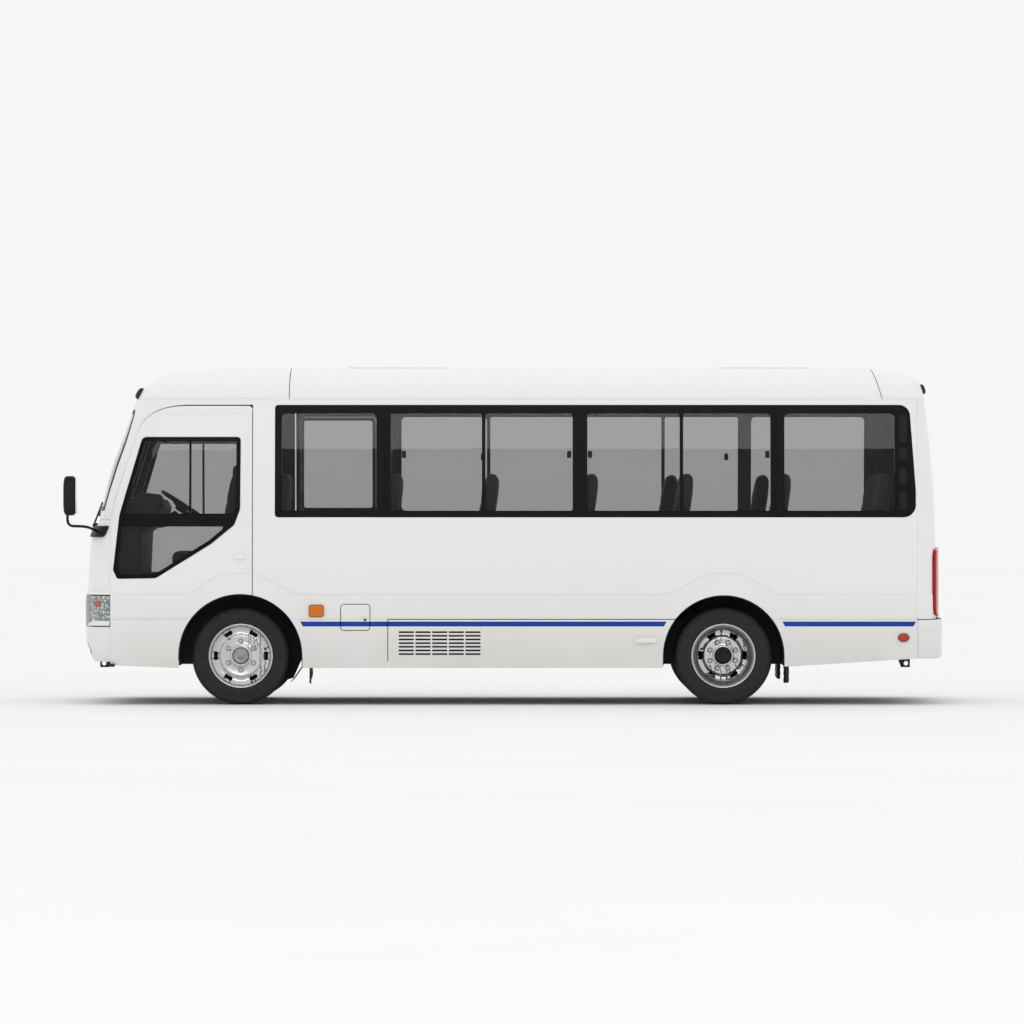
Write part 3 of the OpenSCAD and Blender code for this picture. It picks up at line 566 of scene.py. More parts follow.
wheel_chrome = metal("chromed_wheel_steel", "c6c7c9", "b8b9bb", 0.16, 200, 0.008)
nut_steel = metal("zinc_plated_nuts", "b8babc", "9a9c9e", 0.3, 15, 0.1)
hub_casting = metal("cast_hub_cap", "9a9c9e", "85878a", 0.36, 30, 0.25)
exhaust_steel = metal("aluminised_exhaust_steel", "8a8580", "5f5650", 0.5, 120, 0.3)
drum_iron = metal("cast_iron_drum", "4a4a4b", "3a3634", 0.6, 40, 0.4)
reflector_coat = metal("metallised_reflector", "e6e8ea", "dcdee0", 0.07)


def faceted_reflector():
    """Pressed reflector with small facets that each mirror another part of the studio; each facet is painted
    darker towards its edges, as painted shade.
    """
    material, tree, shader, where = principled("faceted_reflector", Metallic=1.0, Roughness=0.08)
    cells = add(tree, "ShaderNodeTexVoronoi", {"Vector": where, "Scale": 1 / (22 * MM)})
    # painted shade: each facet runs from f2f3f4 in its middle to 7c8086 at its edges
    edge = add(tree, "ShaderNodeMapRange",
               {"Value": cells.outputs["Distance"], "From Min": 0.15, "From Max": 0.6})
    paint(tree, shader, edge, "f2f3f4", "7c8086")
    relief(tree, shader, cells.outputs["Distance"], 3.0, 0.6)
    return material


facet_coat = faceted_reflector()

# %% [markdown]
# Lamp lenses are moulded acrylic, dyed in the mass. Fine ribs on the back spread the light, so a lens looks
# deep and striped rather than flat. The stripes are painted shade: each rib runs from the lens's tint to a
# darker shade of it, over a relief of the same ribs. A shader that lets some light through over the ribs
# gives that depth without a bulb behind every lens.

# %% Lamp lenses
def lens(name, tint, rib_shade, ribs_mm, see_through):
    material, tree, shader, where = principled(name, Roughness=0.06, IOR=1.49, Coat_Weight=0.1,
                                               Specular_IOR_Level=0.25, Transmission_Weight=see_through)
    ribs = add(tree, "ShaderNodeTexWave", {"Vector": where, "Scale": 0.314 / (ribs_mm * MM)},
               bands_direction="Z")
    # painted shade: across each rib the colour runs from the darker shade to the tint
    paint(tree, shader, ribs.outputs[1], rib_shade, tint)
    relief(tree, shader, ribs.outputs[1], 0.8, 0.4)
    return material


red_lens = lens("red_acrylic_lens", "cc1408", "9c0804", 14, 0.05)
amber_lens = lens("amber_acrylic_lens", "f28a14", "d86404", 12, 0.08)
orange_lens = lens("orange_red_reflector", "e04a12", "b8300a", 10, 0.2)
smoked_lens = lens("smoked_marker_lens", "2c2a2a", "191818", 10, 0.3)
white_lens = lens("clear_ribbed_acrylic", "f4f6f7", "d8dcde", 14, 0.6)

# %% [markdown]
# Tyre rubber is black from its carbon and dull from its mould. The moquette on the seats is a cut-pile
# cloth: a small weave, two close greys, and a soft sheen where light grazes the pile.

# %% Tyre rubber and seat cloth
def seat_cloth(name, first, second):
    material, tree, shader, where = principled(name, Roughness=0.9, Sheen_Weight=0.25, Sheen_Roughness=0.5)
    weave = add(tree, "ShaderNodeTexVoronoi", {"Vector": where, "Scale": 310.0, "Randomness": 0.35})
    cloud = add(tree, "ShaderNodeTexNoise", {"Vector": where, "Scale": 22.0, "Detail": 3.0})
    share = add(tree, "ShaderNodeMath", {0: weave, 1: cloud}, operation="MULTIPLY")
    paint(tree, shader, share, first, second)
    relief(tree, shader, weave, 0.8, 0.5)
    return material


tyre_black = grained("cured_tyre_rubber", "151617", "212223", 0.7, 2.5, 0.25, 30, Specular_IOR_Level=0.4)
moquette = seat_cloth("grey_seat_moquette", "26292d", "4a5058")
print("finishes:", len(bpy.data.materials))

# %% [markdown]
# ## Studio
# A near-uniform pale sky lights the vehicle at a plain level, so every colour renders about as it is written
# and the floor darkens softly under the body. One long soft strip stands far out on the camera's side: its
# lower edge is where the upper part of the side glass begins to shine.

# %% Sky, floor and strip light
def pale_sky():
    world = bpy.data.worlds.new("pale_studio_sky")
    bpy.context.scene.world = world
    world.use_nodes = True
    tree = world.node_tree
    tree.nodes.clear()
    path = add(tree, "ShaderNodeLightPath")
    seen = add(tree, "ShaderNodeMath", {0: path.outputs["Is Camera Ray"], 1: path.outputs["Is Glossy Ray"]},
               operation="MAXIMUM")
    seen = add(tree, "ShaderNodeMath", {0: seen, 1: path.outputs["Is Transmission Ray"]}, operation="MAXIMUM")
    direction = add(tree, "ShaderNodeTexCoord").outputs["Generated"]
    height = add(tree, "ShaderNodeSeparateXYZ", {"Vector": direction}).outputs["Z"]
    glow = add(tree, "ShaderNodeMapRange", {"Value": height, "To Min": 0.42, "To Max": 1.27})
    level = add(tree, "ShaderNodeMix", {0: seen, 2: glow, 3: 0.925}, data_type="FLOAT")
    sky = add(tree, "ShaderNodeBackground", {"Color": (1.0, 1.0, 1.0, 1.0), "Strength": level})
    add(tree, "ShaderNodeOutputWorld", {"Surface": sky})


pale_sky()
floor_mesh = bpy.data.meshes.new("studio_floor")
floor_mesh.from_pydata([(-90, -120, 0), (90, -120, 0), (90, 60, 0), (-90, 60, 0)], [], [(0, 1, 2, 3)])
studio_floor = bpy.data.objects.new("studio_floor", floor_mesh)
bpy.context.collection.objects.link(studio_floor)
floor_paint, *floor_nodes = principled("matt_studio_floor", Roughness=0.9, Specular_IOR_Level=0.1)
clouds(*floor_nodes, 2500, "f9f9f9", "f7f7f7")
floor_mesh.materials.append(floor_paint)


def strip_light(name, centre, size, aim, radiance):
    """A soft rectangular light of a given brightness."""
    data = bpy.data.lights.new(name, "AREA")
    data.shape, data.size, data.size_y = "RECTANGLE", size[0], size[1]
    data.energy = radiance * math.pi * size[0] * size[1]
    lamp = bpy.data.objects.new(name, data)
    bpy.context.collection.objects.link(lamp)
    lamp.location = centre
    lamp.rotation_euler = (Vector(centre) - Vector(aim)).to_track_quat("Z", "Y").to_euler()


strip_light("window_strip", (0, 60, 14.2), (18, 6.4), (0, 0, 2), 4.2)
print("studio: one floor, one soft strip")

# %% [markdown]
# ## Pressed lines of the sides
# Below a crease at waist height the lower panels lie nine millimetres deeper, and the crease climbs over
# each wheel arch. A narrow groove runs just above the blue line. Both are pressed in the real steel, so
# they are real shape here: the function gives how far the skin stands out, and rows of points follow it.

# %% Pressed relief
front_axle_x, rear_axle_x, axle_z = 2144, -1772, 396
front_arch_r, rear_arch_r = 503, 493
door_rear_x, door_front_x, door_gap = 2049, 3196, 6
tail_start_x, roof_front_x, roof_rear_x = -3338, 1750, -2990
crease_z, crease_lift, groove_z = 897, 170, 694
lower_out, crease_half, groove_half, groove_deep = -9.0, 9.0, 7.0, 7.0
wall_depth, door_depth, end_depth, screen_depth, cap_depth = 42, 40, 38, 36, 20


def ease(t):
    t = min(1.0, max(0.0, t))
    return t * t * (3 - 2 * t)


def crease_at(x):
    """Height of the crease, lifted over the wheels."""
    return crease_z + crease_lift * max(ease((488 - abs(x - front_axle_x)) / 390),
                                        ease((478 - abs(x - rear_axle_x)) / 390))


def pressed(x, z):
    """How far the skin stands out of the plain body shape."""
    ends = ease((3225 - x) / 70) * ease((x + 3470) / 60)
    lower = 1 - ease((z - crease_at(x) + crease_half) / (2 * crease_half))
    groove = max(0.0, 1 - abs(z - groove_z) / groove_half)
    return ends * (lower_out * lower - groove_deep * groove)


def place_side(side):
    return lambda x, z, depth: side_point(x, z, depth - pressed(x, z), side)


def crease_rows(x0, x1, pitch=28):
    xs = np.arange(x0, x1 + pitch, pitch)
    rows = [np.array([(x, crease_at(x) + d) for x in xs]) for d in (-9, -4.5, 0, 4.5, 9)]
    rows += [np.array([(x, groove_z + d) for x in xs]) for d in (-7, 0, 7)]
    return rows


# %% [markdown]
# ## Side walls
# Each wall is one long panel in the real vehicle, cut for the wheel arches, the window band, the doors and
# the flaps. The outlines below are the cutting templates, in station and height.

# %% Outlines of the left side
def wheel_arc(x, r, start, end, steps=16):
    return arc(x, axle_z, r, start, end, steps)


hatch_front_x, hatch_top_z, hatch_gap = 946, 690, 6
hatch_arch = [math.degrees(math.asin((z - axle_z) / rear_arch_r))
              for z in (hatch_top_z, hatch_top_z + hatch_gap)]
flap_x, flap_z = (1096, 1328), (607, 813)
band_front_x, band_rear_x, band_low_z, band_top_z = 1865, -3329, 1519, 2432
edge_x = door_rear_x - door_gap
notch = math.degrees(math.acos((edge_x - front_axle_x) / front_arch_r))
left_outline = [(tail_start_x, 376), (rear_axle_x - rear_arch_r, 310)]
left_outline += wheel_arc(rear_axle_x, rear_arch_r, 180, hatch_arch[1], 20)
left_outline += [(hatch_front_x + hatch_gap, hatch_top_z + hatch_gap), (hatch_front_x + hatch_gap, 300),
                 (front_axle_x - front_arch_r, 300)]
door_brow_x, door_brow_z, cant_z = 2560, 2433, 2478
left_outline += wheel_arc(front_axle_x, front_arch_r, 180, notch, 12)
left_outline += [(edge_x, door_brow_z), (door_brow_x, door_brow_z), (door_brow_x, cant_z),
                 (tail_start_x, cant_z)]


def window_band(front_x):
    """The black band: small front corners, a large one at the upper rear and a leaning rear edge."""
    return rounded([(band_rear_x, band_low_z), (front_x, band_low_z), (front_x, band_top_z),
                    (-3278, band_top_z), (band_rear_x, 1742)], [100, 28, 28, 90, 200], 8)


band_outline = window_band(band_front_x)
flap_outline = rounded(box_loop(flap_x[0], flap_x[1], flap_z[0], flap_z[1]), 24)
left_holes = [inset(band_outline, 0.5), inset(flap_outline, -hatch_gap)]

left_wall = sheet("left_side_wall_skin", left_outline, left_holes, place_side(LEFT), wall_depth, *lined,
                  ["left_side_wall"],
                  rows=crease_rows(tail_start_x, edge_x), step=(90, 60))
print("left wall:", len(left_wall.data.polygons), "faces")

# %% Right side wall
entrance_x, entrance_gap = (1040, 1766), 9
right_band_front_x = 980
right_band = window_band(right_band_front_x)
entrance_notch = math.degrees(math.acos((entrance_x[1] + entrance_gap - front_axle_x) / (front_arch_r)))
rear_part = [(tail_start_x, 376), (rear_axle_x - rear_arch_r, 310)]
rear_part += wheel_arc(rear_axle_x, rear_arch_r, 180, 0, 24)
rear_part += [(rear_axle_x + rear_arch_r, 300), (entrance_x[0] - 12, 300),
              (entrance_x[0] - 12, door_brow_z), (entrance_x[0] - 12, cant_z), (tail_start_x, cant_z)]
front_part = wheel_arc(front_axle_x, front_arch_r, entrance_notch, notch, 6) + [
    (edge_x, door_brow_z), (door_brow_x, door_brow_z), (door_brow_x, cant_z), (entrance_x[0] - 9, cant_z),
    (entrance_x[0] - 9, door_brow_z), (entrance_x[1] + entrance_gap, door_brow_z)]
for name, outline, holes, nodes, x1 in (
        ("right_side_wall_skin", rear_part, [inset(right_band, 0.5)], ["right_side_wall"], 1028),
        ("right_door_pillar_skin", front_part, [], [], edge_x)):
    piece = sheet(name, outline, holes, place_side(RIGHT), wall_depth, *lined, nodes,
                  rows=crease_rows(tail_start_x, x1), step=(90, 60))
    print(name, len(piece.data.polygons), "faces")

# %% [markdown]
# ## Front doors
# The driver's door wraps from the flat side into the nose, so its front edge curves in plan and its upper
# edge follows the windscreen pillar. A shallow pressed line runs inside its edge. The window is one black
# frame with a drop-glass band across it. The right side has the same pressing, welded shut.

# %% Door skins
door_top_z = 2424
door_notch = math.degrees(math.acos((door_rear_x - front_axle_x) / front_arch_r))
door_outline = [(front_axle_x + front_arch_r, 300), (door_front_x, 322), (door_front_x, 1500), (3159, 1661)]
door_outline += bend((2975, 2225), (2890, door_top_z), (2560, door_top_z), 14)
door_outline += [(2110, door_top_z)] + arc(2079, door_top_z - 30, 30, 90, 180, 5)
door_outline += wheel_arc(front_axle_x, front_arch_r, door_notch, 0, 16)
door_window = rounded([(3142, 1019), (3176, 1092), (3126, 1539), (2939, 2173), (2140, 2173), (2144, 1587),
                       (2192, 1457), (2379, 1303), (2826, 1024)],
                      [30, 40, 200, 45, 30, 120, 70, 120, 70], 5)


emboss_x, emboss_z, emboss_deep = 2078, 2371, 5.5


def door_emboss(x, z):
    """A shallow step round the upper door, five and a half millimetres deep."""
    edge = min(x - emboss_x, emboss_z - z + 60 * ease((x - 2900) / 200), 3100 - x)
    return pressed(x, z) - emboss_deep * ease(edge / 12) * ease((z - 1000) / 300)


def place_door(side):
    return lambda x, z, depth: side_point(x, z, depth - door_emboss(x, z), side)


emboss_rows = [np.array([(x, emboss_z - d) for x in np.arange(2085, 2900, 30)]) for d in (-1, 6, 13)]
emboss_rows += [np.array([(emboss_x + d, z) for z in np.arange(1300, 2370, 40)]) for d in (-1, 6, 13)]
door_rows = crease_rows(door_rear_x, door_front_x) + emboss_rows
for name, side, body, node in (("driver_door_skin", LEFT, "driver_door", "driver_door"),
                               ("right_front_skin", RIGHT, "body", "right_front_panel")):
    piece = sheet(name, door_outline, [inset(door_window, 2)], place_door(side), door_depth,
                  [enamel, dash_vinyl], body, "body_paint", [node], rows=door_rows, step=(60, 45))
    print(name, len(piece.data.polygons), "faces")

# %% [markdown]
# ## Entrance door, hatch and fuel flap
# The entrance door is one leaf, nearly all glass in a narrow white frame. The skirt hatch on the left has a
# grille of pressed louvres, so each slot is really open and a dark screen stands behind it.

# %% Entrance door, hatch and flap
entrance_notch2 = math.degrees(math.acos((entrance_x[1] - front_axle_x) / (front_arch_r + 12)))
entrance_outline = [(entrance_x[0], 300), (front_axle_x - front_arch_r - 12, 300)]
entrance_outline += wheel_arc(front_axle_x, front_arch_r + 12, 180, entrance_notch2, 8)
entrance_outline += [(entrance_x[1], 2424), (entrance_x[0], 2424)]
entrance_hole = rounded(box_loop(1092, 1730, 760, 2363), 35)
sheet("entrance_door_skin", entrance_outline, [entrance_hole], place_side(RIGHT), door_depth,
      [enamel, dash_vinyl], "entrance_door", "body_paint", ["entrance_door"],
      rows=crease_rows(*entrance_x), step=(70, 50))

grille_x, grille_z, grille_pitch = 198, 405, (135, 29.6)
slots = [rounded(box_loop(grille_x + c * grille_pitch[0], grille_x + c * grille_pitch[0] + 122,
                          grille_z + r * grille_pitch[1], grille_z + r * grille_pitch[1] + 14), 3, 2)
         for c in range(5) for r in range(7)]
hatch_outline = [(rear_axle_x + rear_arch_r, 300), (hatch_front_x, 300), (hatch_front_x, hatch_top_z)]
hatch_outline += wheel_arc(rear_axle_x, rear_arch_r, hatch_arch[0], 0, 6)
sheet("side_hatch_skin", hatch_outline, slots, place_side(LEFT), 26, [enamel, chassis_enamel], "side_hatch",
      "body_paint", ["side_hatch"], step=(90, 50), rim=2.0)
sheet("fuel_flap_skin", flap_outline, [], place_side(LEFT), 11, enamel, "fuel_flap", "body_paint",
      ["fuel_flap"], step=(40, 30), rim=2.0,
      rows=[np.array([(x, groove_z + d) for x in np.arange(1100, 1330, 20)]) for d in (-5, 0, 5)])
print("grille slots:", len(slots))

# %% [markdown]
# ## Nose and tail
# The end panels run round the corners in one pressing. They are drawn on the developed plan line: one
# coordinate is the distance along the plan curve, the other is height. That keeps the spacing of the net
# even round the tight corners, where equal steps in width would crowd.

# %% Developed plan of the ends
def developed(tail):
    """Plan angles and the distance along the plan curve from its middle, left side negative."""
    angles = np.linspace(0, 180, 721)
    points = np.array([end_point(a, 1000, 0, tail)[:2] for a in angles])
    length = np.concatenate([[0], np.cumsum(np.linalg.norm(np.diff(points, axis=0), axis=1))])
    return angles, length - length[-1] / 2


plans = {False: developed(False), True: developed(True)}


def place_end(tail, stand_out=0.0, shift=0.0):
    """Places (distance along the plan, height) on the nose or tail, and on along the straight sides."""
    angles, length = plans[tail]
    half_length = float(length[-1])

    def place(u, z, depth):
        depth -= stand_out(u, z) if callable(stand_out) else stand_out
        a = float(np.interp(u, length, angles))
        x, y, z = end_point(a, z, depth, tail)
        extra = max(0.0, abs(u) - half_length)
        return (x + (extra if tail else -extra) + shift, y, z)
    return place


def along_from_x(x, z, side, tail=False):
    """Distance along the plan at which the skin crosses station x."""
    angles, length = plans[tail]
    power, reach = (tail_power, tail_depth) if tail else (nose_power, nose_depth)
    back = x - tail_x(z) if tail else nose_x(z) - x
    if back >= reach:
        return -side * (float(length[-1]) + back - reach)
    a = math.degrees(math.asin((1 - max(0.0, back) / reach) ** (power / 2)))
    return -side * abs(float(np.interp(a, angles, length)))


def along_from_y(y, z, tail=False):
    """Distance along the plan at which the skin crosses width y, left side negative."""
    angles, length = plans[tail]
    share = min(1.0, abs(y) / half_width(z))
    a = math.degrees(math.acos(share ** ((tail_power if tail else nose_power) / 2)))
    return math.copysign(abs(float(np.interp(a, angles, length))), -y)


def around(points, tail=False):
    """Turns ('x' or 'y', value, height, side) template points into developed ones."""
    out = []
    for kind, value, z, side in points:
        u = along_from_x(value, z, side, tail) if kind == "x" else along_from_y(value, z, tail)
        out.append((u, z))
    return out


def across(z0, z1, x, tail=False, pitch=45):
    """A band round the end between two heights, its side edges at station x."""
    count = max(2, int(abs(z1 - z0) / pitch))
    heights = np.linspace(z0, z1, count + 1)
    first, last = (LEFT, RIGHT)
    points = [("x", x, z0, first)] + [("x", x, z, last) for z in heights]
    points += [("x", x, z, first) for z in heights[::-1][:-1]]
    return around(points, tail)


# %% [markdown]
# ## Nose
# The bumper is a moulded cover with a rolled lower lip, an air intake and a blank number plate. Above it,
# the front panel leaves cut-outs for the lamps. Above that, pillars and a header frame the windscreen, and
# stop at the doors with an even gap.

# %% Front bumper, front panel and pillars
nose_edge_x = door_front_x + door_gap
lamp_y, lamp_z = 640, (637, 889)
fog_y, panel_line_z = 760, 930
bumper_loop = across(349, 632, nose_edge_x)
intake = rounded([(-520, 400), (520, 400), (560, 500), (-560, 500)], 22)
fog = [rounded(box_loop(s * fog_y - 70, s * fog_y + 70, 405, 500), 25) for s in (-1, 1)]
bumper = sheet("front_bumper_skin", bumper_loop, [intake] + fog,
               place_end(False, lambda u, z: -14 * ease((372 - z) / 24)), screen_depth,
               [enamel, chassis_enamel], "body", "body_paint", ["front_bumper"], step=(60, 30))
print("front bumper:", len(bumper.data.polygons), "faces")


def panel_with_lamps():
    """Front panel outline: the lamps are notches in its side edges."""
    z0, z1 = 636, 1498
    right = [("x", nose_edge_x, z, RIGHT) for z in np.linspace(lamp_z[1] + 4, z1, 14)]
    left = [("x", nose_edge_x, z, LEFT) for z in np.linspace(z1, lamp_z[1] + 4, 14)]
    notch_right = [("y", -lamp_y - 56, z0, RIGHT), ("y", -lamp_y + 4, z0 + 110, RIGHT),
                   ("y", -lamp_y + 4, lamp_z[1] + 4, RIGHT)]
    notch_left = [("y", lamp_y - 4, lamp_z[1] + 4, LEFT), ("y", lamp_y - 4, z0 + 110, LEFT),
                  ("y", lamp_y + 56, z0, LEFT)]
    return around(notch_right + right + left + notch_left)


front_loop = panel_with_lamps()
grille_slots = [rounded(box_loop(-430, 430, z, z + 20), 8, 3) for z in (760, 796, 832)]
front = sheet("front_panel_skin", front_loop, grille_slots,
              place_end(False, lambda u, z: -5 * ease(1 - abs(z - panel_line_z) / 9)), end_depth,
              [enamel, dash_vinyl], "body", "body_paint", ["front_panel"], step=(70, 45),
              rows=[np.array([(u, panel_line_z + d) for u in np.arange(-1100, 1100, 30)]) for d in (-9, 0, 9)])
print("front panel:", len(front.data.polygons), "faces")

# %% Windscreen frame
screen_low, screen_high, screen_r = 1512, 2397, 70


def screen_template():
    """Windscreen opening in width and height; its sides bulge round the corners at mid height."""
    right = bend((878, screen_low), (968, 1960), (822, screen_high), 14)
    loop = [(-880, screen_low)] + right + [(-y, z) for y, z in right[::-1][:-1]]
    radii = [screen_r if abs(z - screen_low) < 1 or abs(z - screen_high) < 1 else 0 for _, z in loop]
    return rounded(loop[1:], radii[1:], 8)


def screen_developed():
    return [(along_from_y(-y, z), z) for y, z in split(screen_template(), 30)]


def pillar_edge(side):
    """Edge of the pillar along the driver's door, from the sill up to the brow and back to its rear end."""
    line = [(nose_edge_x, 1500), (3168, 1664)]
    line += bend((2983, 2232), (2896, door_brow_z), (door_brow_x + 2, door_brow_z), 22)[1:]
    dense = []
    for a, b in zip(line, line[1:]):
        count = max(1, int(math.dist(a, b) / 35))
        dense += [tuple(Vector(a).lerp(Vector(b), k / count)) for k in range(count)]
    dense += [line[-1], (door_brow_x + 2, cant_z)]
    return [("x", x, z, side) for x, z in dense]


frame_loop = around([("x", nose_edge_x, 1500, LEFT)] + pillar_edge(RIGHT) + pillar_edge(LEFT)[::-1][:-1])
frame_piece = sheet("windscreen_frame_skin", frame_loop, [screen_developed()], place_end(False),
                    screen_depth, *lined, ["windscreen_pillars"], step=(60, 45))
print("windscreen frame:", len(frame_piece.data.polygons), "faces")

# %% [markdown]
# ## Roof
# A bus roof is one long cove panel between two moulded caps, with raised ventilation hatches. Each part is a
# grid of cross-sections. The caps take most of their sections near the ends, where the surface turns down
# fastest. A thickness modifier adds the lining, and the edges at the seams are turned in.

# %% Roof surface
def top_at(x):
    """Height of the roof's centre line at station x."""
    line, profile, sign = (nose_line, nose_x, 1) if x > 0 else (tail_line, tail_x, -1)
    if sign * x <= sign * line[-1][1]:
        return roof_z
    heights = np.linspace(2391, roof_z, 400)
    return float(np.interp(-sign * x, [-sign * profile(h) for h in heights], heights))


def roof_rows(stations, sink):
    """Cross-sections: each station is a function of the arch angle, with its own sinking under the skin."""
    rows = []
    for station, depth in zip(stations, sink):
        row = []
        for a in sweep:
            x = station(a)
            top = top_at(x)
            z = cant_z + (top - cant_z) * math.sin(math.radians(a))
            _, y, _ = side_point(x, z, depth)
            row.append((x, math.copysign(y, 90 - a) if abs(a - 90) > 1e-6 else 0.0, z - depth))
        rows.append(row)
    return rows


def grid_piece(name, rows, materials, body, slot, replaced, t):
    """A skin through rows of points; t adds thickness inwards."""
    mesh = bpy.data.meshes.new(name)
    mesh.from_pydata([tuple(c * MM for c in p) for row in rows for p in row], [],
                     grid_faces(len(rows), len(rows[0]), ring=False))
    piece = link(name, outward(mesh, 0.0002, upward=True), materials, body, slot, replaced)
    shell = piece.modifiers.new("lining", "SOLIDIFY")
    shell.thickness, shell.offset = t * MM, -1
    shell.material_offset, shell.material_offset_rim = 1, 0


sweep = list(np.linspace(0, 12, 4)) + list(np.linspace(16, 80, 17)) + list(np.linspace(83, 89.5, 5)) + [90.0]
sweep = sweep + [180 - a for a in sweep[-2::-1]]
rear_seam = 71


def seam(x, lean=0.0):
    return lambda a: x - lean * (1 - math.sin(math.radians(a)))


def cap_sink(stations):
    """A cap's edge at the seam dips a little, and the rest lies on the surface."""
    return [3.5, 1.0] + [0.0] * (len(stations) - 2)


def cap_stations(tail):
    """Stations of a cap, dense where its front edge turns across the vehicle."""
    plan_angles = (90, 82, 74, 66, 58, 50, 42, 34, 27, 20, 14, 9, 4)
    edge = [end_point(a, cant_z + 0.5, 0, tail)[0] for a in plan_angles]
    profile = tail_x if tail else nose_x
    heights = [2490, 2505, 2521, 2538, 2554, 2570, 2586, 2605, 2625, 2651, 2668, 2684, 2700, 2712, 2725, 2735,
               2741, 2746]
    values = sorted(edge + [profile(h) for h in heights], reverse=tail)
    limit = roof_rear_x - rear_seam - 25 if tail else roof_front_x + 25
    values = [x for x in values if (x < limit if tail else x > limit)]
    kept = [values[0]]
    for x in values[1:]:
        if abs(x - kept[-1]) > 2.0:
            kept.append(x)
    return kept


mid = [seam(roof_rear_x + d, rear_seam) for d in (2, 4, 8)]
mid += [seam(x) for x in np.linspace(-2850, 1650, 16)] + [seam(roof_front_x - d) for d in (8, 4, 2)]
mid_sink = [3.5, 1.0] + [0.0] * (len(mid) - 4) + [1.0, 3.5]
front_cap = [seam(roof_front_x + d) for d in (2, 4, 8)] + [seam(x) for x in cap_stations(False)]
rear_cap = [seam(roof_rear_x - d, rear_seam) for d in (2, 4, 8)] + [seam(x) for x in cap_stations(True)]
for node, stations, sink, t in (("roof_panel", mid, mid_sink, 34),
                                ("roof_front_cap", front_cap, cap_sink(front_cap), cap_depth),
                                ("roof_rear_cap", rear_cap, cap_sink(rear_cap), cap_depth)):
    grid_piece(f"{node}_skin", roof_rows(stations, sink), *lined, [node], t)


def roof_height(y):
    side = half_width_max - tumblehome * ((2600 - waist_z) / (gutter_z - waist_z)) ** 1.6
    return crown_z + (roof_z - crown_z) * math.sqrt(max(0.0, 1 - (abs(y) / side) ** crown_power))


for name, x0, x1 in (("front_roof_hatch", 479, 1283), ("rear_roof_hatch", -2493, -1754)):
    sheet(name, rounded(box_loop(x0, x1, -380, 380), 70, 8), [],
          lambda x, y, depth: (x, y, roof_height(y) + 8.0 - depth), 14, white_abs, "body", "body_paint",
          step=(80, 60), rim=5.0)
print("roof stations:", len(mid), len(front_cap), len(rear_cap))

# %% [markdown]
# ## Side windows
# Each side carries one black band: toughened glass with a fired ceramic border, bonded flush with the skin.
# The border is the frame here, with fine upright seams where two glasses meet, and the panes are separate so
# that light really passes through them. The sliding panes have small latches on the inside.

# %% Side window bands and panes
pane_z = (1575, 2363)
left_panes = [(1039, 1811), (187, 926), (-548, 158), (-1416, -668), (-2152, -1445), (-3159, -2265)]
right_panes = [(155, 875), (-590, 125), (-1318, -666), (-1964, -1347), (-3030, -2076)]
vents = [(2124, 2359), (1985, 2091), (1782, 1920), (1579, 1733)]


def pane_corners(i, last):
    return [34 if i in (0, last) else 16] * 4


pane_t, pane_sink = 5, 5


def band_surface(side, seams, sink=1.0):
    """Places points just under the skin, with a hairline groove along each glass seam."""
    def place(x, z, depth):
        groove = sum(2.5 * max(0.0, 1 - abs(x - s) / 2.5) for s in seams)
        return side_point(x, z, depth + sink + groove, side)
    return place


def window_side(tag, side, loop, panes, seams, vent_holes):
    holes = [rounded(box_loop(a, b, *pane_z), pane_corners(i, len(panes) - 1), 5)
             for i, (a, b) in enumerate(panes)]
    slots = [rounded(box_loop(-3262, -3194, z0, z1), 12, 3) for z0, z1 in vent_holes]
    rows = [np.array([(s + d, z) for z in np.arange(1530, 2428, 40)]) for s in seams for d in (-3, 0, 3)]
    rows = [np.sort(row, 0) for row in rows]
    sheet(f"{tag}_window_band", inset(loop, 1.5), holes + slots, band_surface(side, seams), 36,
          [black_frit, dash_vinyl], "body", "black_trim", ["window_frames"], rows=rows, step=(70, 40),
          rim=1.5)
    for i, (a, b) in enumerate(panes):
        sheet(f"{tag}_pane_{i + 1}", inset(holes[i], 1.0), [],
              lambda x, z, depth: side_point(x, z, depth + pane_sink, side), pane_t, tinted_glass, "body",
              "tinted_glass",
              ["windows"], step=(110, 90), edge_step=60, rim=0.8, rim_steps=2)
    if vent_holes:
        sheet(f"{tag}_vent_screen", box_loop(-3268, -3186, 1572, 2366), [],
              lambda x, z, depth: side_point(x, z, depth + 12, side), 4, *trim, step=(40, 40), rim=1.0)


window_side("left", LEFT, band_outline, left_panes, (987, -606, -2205), vents)
window_side("right", RIGHT, right_band, right_panes, (140, -628, -1333, -2020), vents)


# %% Latches and sliding sashes
def rounded_box(name, low, high, r, materials, body, slot, replaced=(), segments=3):
    """A moulded block between two corners, in millimetres, with rounded edges."""
    mesh = bpy.data.meshes.new(name)
    block = bmesh.new()
    bmesh.ops.create_cube(block, size=1.0)
    low, high = Vector(low), Vector(high)
    for v in block.verts:
        v.co = Vector(((low + high)[k] / 2 + v.co[k] * (high - low)[k] for k in range(3))) * MM
    bmesh.ops.bevel(block, geom=block.edges[:], offset=r * MM, segments=segments, profile=0.6,
                    affect="EDGES", clamp_overlap=True)
    block.to_mesh(mesh)
    block.free()
    return weighted(link(name, mesh, materials, body, slot, replaced))


def joined(name, pieces):
    """Joins small pieces of one body into one."""
    mesh = bpy.data.meshes.new(name)
    whole = bmesh.new()
    for piece in pieces:
        whole.from_mesh(piece.data)
    whole.to_mesh(mesh)
    whole.free()
    first = pieces[0]
    for material in first.data.materials:
        mesh.materials.append(material)
    first.data = mesh
    first.name = name
    for piece in pieces[1:]:
        bpy.data.objects.remove(piece)
    return first


